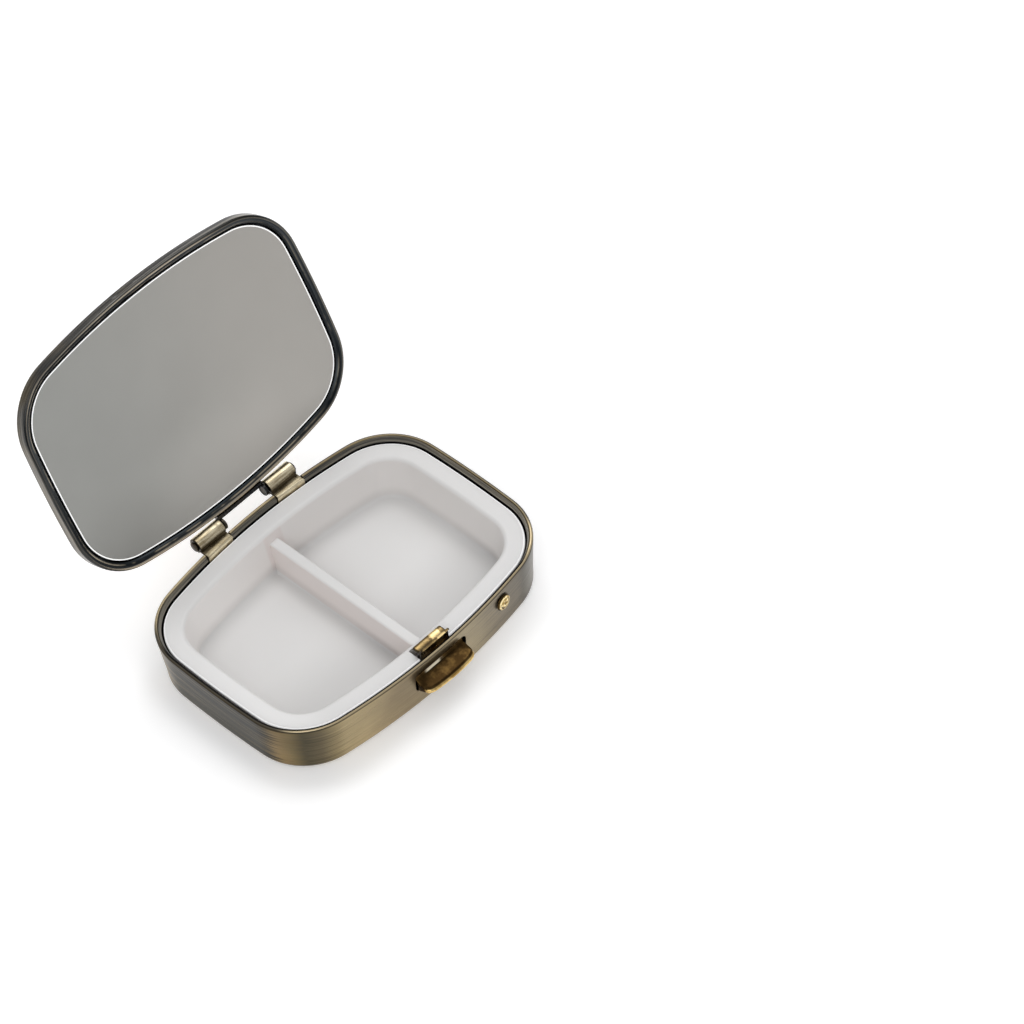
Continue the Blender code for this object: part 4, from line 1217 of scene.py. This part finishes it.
RIVERS = (
    ((-26, 9), (-21, 11), (-18, 8.5), (-20, 3), (-15, 0), (-14, -5), (-16, -10), (-12, -15), (-13, -20)),
    ((-14, 21), (-12.5, 16), (-15, 11.5), (-10, 8), (-9, 3), (-5, 0), (-5.5, -6), (-1, -9.5), (1, -16),
     (0, -20)),
    ((-4, 21), (-6, 16), (-2.5, 14), (-4.5, 10), (0, 7.5), (1.5, 3), (5, 1)),
    ((1, 20), (4, 16), (3.5, 12), (8, 10), (10, 5.5), (9, 1)),
    ((-27, 4), (-23, 2.5), (-22, -3), (-17.5, -5), (-15, -11)),
    ((11, 16), (13.5, 12), (13, 8)),
    ((16, 19), (18, 14), (17, 9.5), (18.5, 7.8)),
    ((12, -20), (14, -15), (19, -12), (21, -9.5), (27, -10.5)),
    ((-9, 12), (-6.5, 11.5), (-5, 13.5)),
)
SHORES = (
    ((8, -4.5), (10, 0), (11, 3.5), (14, 6.5), (17.5, 7.5), (20.5, 7.5), (23, 5), (24.5, 1)),
    ((7.5, -5), (6, -9), (6.3, -13), (7.5, -19)),
    ((33, -2.5), (25, -2.6), (20, -4), (17, -3.3), (13.5, -3), (9, -4.6), (7.9, -8.5), (7.7, -12),
     (10, -15.5), (14, -21.5)),
    ((20.5, 7.8), (23, 11.5), (26, 13), (31, 14)),
)
PONDS = ((-26, -2.5, 0.55), (-24.5, 5.5, 0.7), (-22, 14.5, 0.6), (-25.3, 7.5, 0.5), (-19, 15.5, 0.55),
         (-21, -9, 0.4), (-10.5, 11, 0.45), (23, -13, 0.5))
TOWNS = ((7.2, -4.8, 0.75), (3.4, 3.7, 0.65), (-0.9, 9.1, 0.65), (1.8, -2.6, 0.75), (3.3, -7.8, 0.65),
         (-1.5, 16.5, 0.5), (3, 10.3, 0.45), (8.6, 3.6, 0.5), (-13, 16.5, 0.45), (-10.5, 15.8, 0.45),
         (-17.6, 10.1, 0.45), (16.5, -15.2, 0.5), (20.5, -15, 0.45), (23.6, -7.8, 0.5), (19, 10, 0.5),
         (19.2, 13.5, 0.45), (-19.3, -0.6, 0.45), (-11.4, -2.8, 0.65), (-16.3, -12.7, 0.45),
         (-8.5, -4.4, 0.45), (3.3, -10.6, 0.45), (13.5, -9.7, 0.45), (10.3, 6.8, 0.5), (1.2, 6.5, 0.45),
         (-23.5, -4, 0.45), (-6, -14.5, 0.45), (12, 14, 0.4))
LEADERS = (((-27, -12.5), (-20, -13), (-12, -12.8), (-3, -13.3), (4, -15), (11, -17)),
           ((-19, -6.5), (-17, -11), (-15.7, -16)), ((-19, -1), (-22, 4)), ((-20, 12), (-16, 14.5)),
           ((-1.5, 16.3), (-5, 18.5)), ((-13.5, -9.5), (-9.5, -12)), ((13.5, -9.7), (10.5, -11)),
           ((12, 14), (15, 11)), ((0.5, 11.5), (2, 13.5)))
BUILT_UP = ((-0.2, 1.2), (3, 4), (8.6, 2.4), (10.6, -1.4), (7, -3.8), (2.6, -2.4), (3.4, -0.6))
HATCH_PITCH, HATCH_TURN = 0.5, math.radians(-52)


def hatched_patch(bm):
    """The built-up area: close parallel strokes kept inside its outline, and the outline itself."""
    corners_in = [Vector(point) for point in BUILT_UP]
    aside = Vector((math.cos(HATCH_TURN), math.sin(HATCH_TURN)))
    along = Vector((-aside.y, aside.x))
    edges = list(zip(corners_in, corners_in[1:] + corners_in[:1]))
    reach = [point.dot(aside) for point in corners_in]
    for k in range(int(min(reach) / HATCH_PITCH) + 1, int(max(reach) / HATCH_PITCH) + 1):
        level, hits = k * HATCH_PITCH, []
        for start, end in edges:
            before, after = start.dot(aside) - level, end.dot(aside) - level
            if before * after < 0:
                hits.append((start + (end - start) * before / (before - after)).dot(along))
        hits.sort()
        for low, high in zip(hits[::2], hits[1::2]):
            add_ribbon(bm, (aside * level + along * low, aside * level + along * high), 0.16)
    for start, end in edges:
        add_ribbon(bm, (start, end), 0.14)


def picture():
    """The printed road map: paper, tinted areas, water, roads, town dots and fine lines."""
    low = LID_DECK + 0.08
    sheet = shell([(PRINT_INSET, low), (PRINT_INSET, PRINT_TOP - 0.02), (PRINT_INSET + 0.03, PRINT_TOP)])
    uv = sheet.loops.layers.uv.active
    for face in sheet.faces:
        for corner in face.loops:
            corner[uv].uv = corner.vert.co.xy
    obj = to_object("printed_sheet", sheet)
    paper = paper_finish("print_paper", (0.95, 0.885, 0.8))
    finish_piece(obj, "lid", [paper], ["map_print"])

    inks = {
        "green": paper_finish("print_green", (0.62, 0.68, 0.42)),
        "lake": paper_finish("print_lake", (0.72, 0.82, 0.84), (0.55, 0.7, 0.78)),
        "pink": paper_finish("print_pink", (0.92, 0.7, 0.7), (0.88, 0.42, 0.5)),
        "rose": paper_finish("print_rose", (0.9, 0.42, 0.52)),
        "tan": paper_finish("print_tan", (0.62, 0.52, 0.4)),
        "blue": paper_finish("print_blue", (0.02, 0.2, 0.42)),
        "red": paper_finish("print_red", (0.82, 0.055, 0.05)),
        "black": paper_finish("print_black", (0.014, 0.011, 0.013)),
    }
    areas = (("green", GREEN_EAST), ("green", GREEN_WEST), ("lake", LAKE), ("lake", STRAIT),
             ("pink", PINK), ("pink", NORTH_SHORE), ("tan", BUILT_UP))
    for count, (ink, points) in enumerate(areas, start=1):
        bm = bmesh.new()
        add_area(bm, points, smooth=ink != "tan")
        inked(f"print_area_{count}_{ink}", bm, count * 0.15, inks[ink])

    borders = bmesh.new()
    for line, width in ((ROSE_SHORE, 1.9), (ROSE_BORDER, 1.2)):
        add_ribbon(borders, line, width)
    inked("print_borders", borders, 1.4, inks["rose"])

    water = bmesh.new()
    for line in RIVERS + SHORES:
        add_ribbon(water, line, 0.3)
    for x, y, radius in PONDS:
        ring = [(x + radius * math.cos(t), y + radius * 0.7 * math.sin(t)) for t in spaced(0, math.tau, 12)]
        add_ribbon(water, ring, 0.24, 0.15)
    inked("print_water_lines", water, 1.6, inks["blue"])

    roads = bmesh.new()
    for line in THICK_ROADS:
        add_ribbon(roads, line, 0.62)
    for line in THIN_ROADS:
        add_ribbon(roads, line, 0.34)
    inked("print_roads", roads, 2.3, inks["red"])

    marks = bmesh.new()
    for x, y, radius in TOWNS:
        add_dot(marks, x, y, radius)
    for line in LEADERS:
        add_ribbon(marks, line, 0.14)
    hatched_patch(marks)
    inked("print_marks", marks, 3.0, inks["black"])


def cover(finish):
    """The clear domed cover over the picture."""
    rise, edge, slope = COVER_TOP - COVER_BOTTOM, 0.3, 6
    profile = [(PRINT_INSET, COVER_BOTTOM), (PRINT_INSET, COVER_BOTTOM + rise * edge)]
    profile += [(PRINT_INSET + slope * t ** 1.6,
                 COVER_BOTTOM + rise * (edge + (1 - edge) * math.sin(t * math.pi / 2)))
                for t in spaced(0, 1, 16)[1:]]
    obj = to_object("cover_of_picture", shell(profile))
    finish_piece(obj, "lid", [finish], ["clear_cover"])


def dress_hidden_nodes(spring, catch_metal, foam):
    """Give the CAD nodes that stay their own detailed finishes."""
    for node, finish, slot in (("latch_spring", spring, "spring_brass"),
                               ("blade_rivet", catch_metal, "aged_brass"),
                               ("mirror_pad", foam, "adhesive_foam")):
        obj = frame["nodes"][node]
        obj.data.materials.clear()
        obj.data.materials.append(finish)


# ---------------------------------------------------------------- studio

def floor():
    """A large pale floor that glows faintly, like a light table, and glows less close to the box as a
    painted shadow.
    """
    finish = Finish("studio_floor", Roughness=0.7, Emission_Color=(1, 1, 1, 1))
    x, y, _ = finish.axes()
    squares = []
    for place, reach in ((x, HALF_LENGTH - CORNER_RADIUS), (y, HALF_WIDTH - CORNER_RADIUS)):
        beyond = finish.math("MAXIMUM", finish.math("SUBTRACT", finish.size(place), reach), 0)
        squares.append(finish.times(beyond, beyond))
    gap = finish.math("SUBTRACT", finish.math("SQRT", finish.plus(*squares)), CORNER_RADIUS)
    # painted shadow: the floor glows less close to the box, most on its left
    near = finish.times(finish.ramp(gap, 0, 4.5, 1.0, 0.0), finish.ramp(x, -4, 20, 0.1, 0.02))
    finish.drive(Base_Color=finish.mix(finish.noise(30, 2.0), (0.9, 0.9, 0.9), (0.92, 0.92, 0.92)),
                 Emission_Strength=finish.math("SUBTRACT", 0.36, near))
    reach, drop = 3.0, 0.00002                      # in metres
    bm = bmesh.new()
    bm.faces.new([bm.verts.new((sx * reach, sy * reach, 0))
                  for sx, sy in ((-1, -1), (1, -1), (1, 1), (-1, 1))])
    obj = to_object("studio_floor", bm)
    obj.location.z = -drop
    obj.data.materials.append(finish.material)


def direction(azimuth, elevation):
    """The way from the box to a place seen at these angles, azimuth from the front."""
    return Vector((math.sin(azimuth) * math.cos(elevation), -math.cos(azimuth) * math.cos(elevation),
                   math.sin(elevation)))


def softbox(name, azimuth, elevation, width, power):
    """A square area light, two metres away, that faces the box from a direction in degrees."""
    away = direction(math.radians(azimuth), math.radians(elevation))
    light = bpy.data.lights.new(name, "AREA")
    light.shape = "RECTANGLE"
    light.size, light.size_y = width, width
    light.energy = power
    obj = bpy.data.objects.new(name, light)
    obj.location = away * 2.0
    obj.rotation_mode = "QUATERNION"
    obj.rotation_quaternion = (-away).to_track_quat("-Z", "Y")
    bpy.context.scene.collection.objects.link(obj)


def world():
    """A soft grey surround: bright below the horizon, darkest just above it, paler overhead."""
    surround = bpy.data.worlds.new("studio")
    surround.use_nodes = True
    bpy.context.scene.world = surround
    tree = surround.node_tree
    background = tree.nodes["Background"]
    where = tree.nodes.new("ShaderNodeTexCoord")
    split = tree.nodes.new("ShaderNodeSeparateXYZ")
    ramp = tree.nodes.new("ShaderNodeValToRGB")
    tree.links.new(where.outputs["Generated"], split.inputs[0])
    tree.links.new(split.outputs[2], ramp.inputs[0])
    tree.links.new(ramp.outputs[0], background.inputs["Color"])
    stops = ((0.0, 0.9), (0.04, 0.46), (0.3, 0.5), (0.62, 0.58), (1.0, 0.6))
    while len(ramp.color_ramp.elements) < len(stops):
        ramp.color_ramp.elements.new(0.5)
    for element, (position, grey) in zip(ramp.color_ramp.elements, stops):
        element.position = position
        element.color = (grey, grey, grey * 1.01, 1)
    background.inputs["Strength"].default_value = 1.0


def camera():
    """The camera: a long lens, tilted about its own axis by ROLL."""
    back = direction(AZIMUTH, ELEVATION)
    data = bpy.data.cameras.new("camera")
    data.lens = LENS
    data.sensor_width = 36.0
    data.clip_start, data.clip_end = 0.05, 20.0
    obj = bpy.data.objects.new("camera", data)
    place = Matrix.Translation(TARGET + back * DISTANCE)
    aim = (-back).to_track_quat("-Z", "Y").to_matrix().to_4x4()
    obj.matrix_world = place @ aim @ Matrix.Rotation(-ROLL, 4, "Z")
    bpy.context.scene.collection.objects.link(obj)
    bpy.context.scene.camera = obj


def studio():
    """Floor, lights, surround and camera."""
    floor()
    world()
    softbox("key_light", 130, 55, 1.5, 12)
    softbox("fill_light", -50, 40, 1.2, 7)
    camera()
    bpy.context.scene.view_settings.view_transform = "Standard"


def build():
    """Make every piece."""
    steel = steel_finish()
    catch_metal = catch_finish()
    base_shell()
    tray()
    hinge_barrels(steel)
    rivet()
    button()
    catch(catch_metal)
    lid_shell()
    hinge_leaf(leaf_finish())
    bezel()
    mirror(mirror_finish(), mirror_edge_finish(), mirror_paint_finish())
    picture()
    cover(clear_finish())
    dress_hidden_nodes(spring_finish(), catch_metal, foam_finish())


build()
studio()
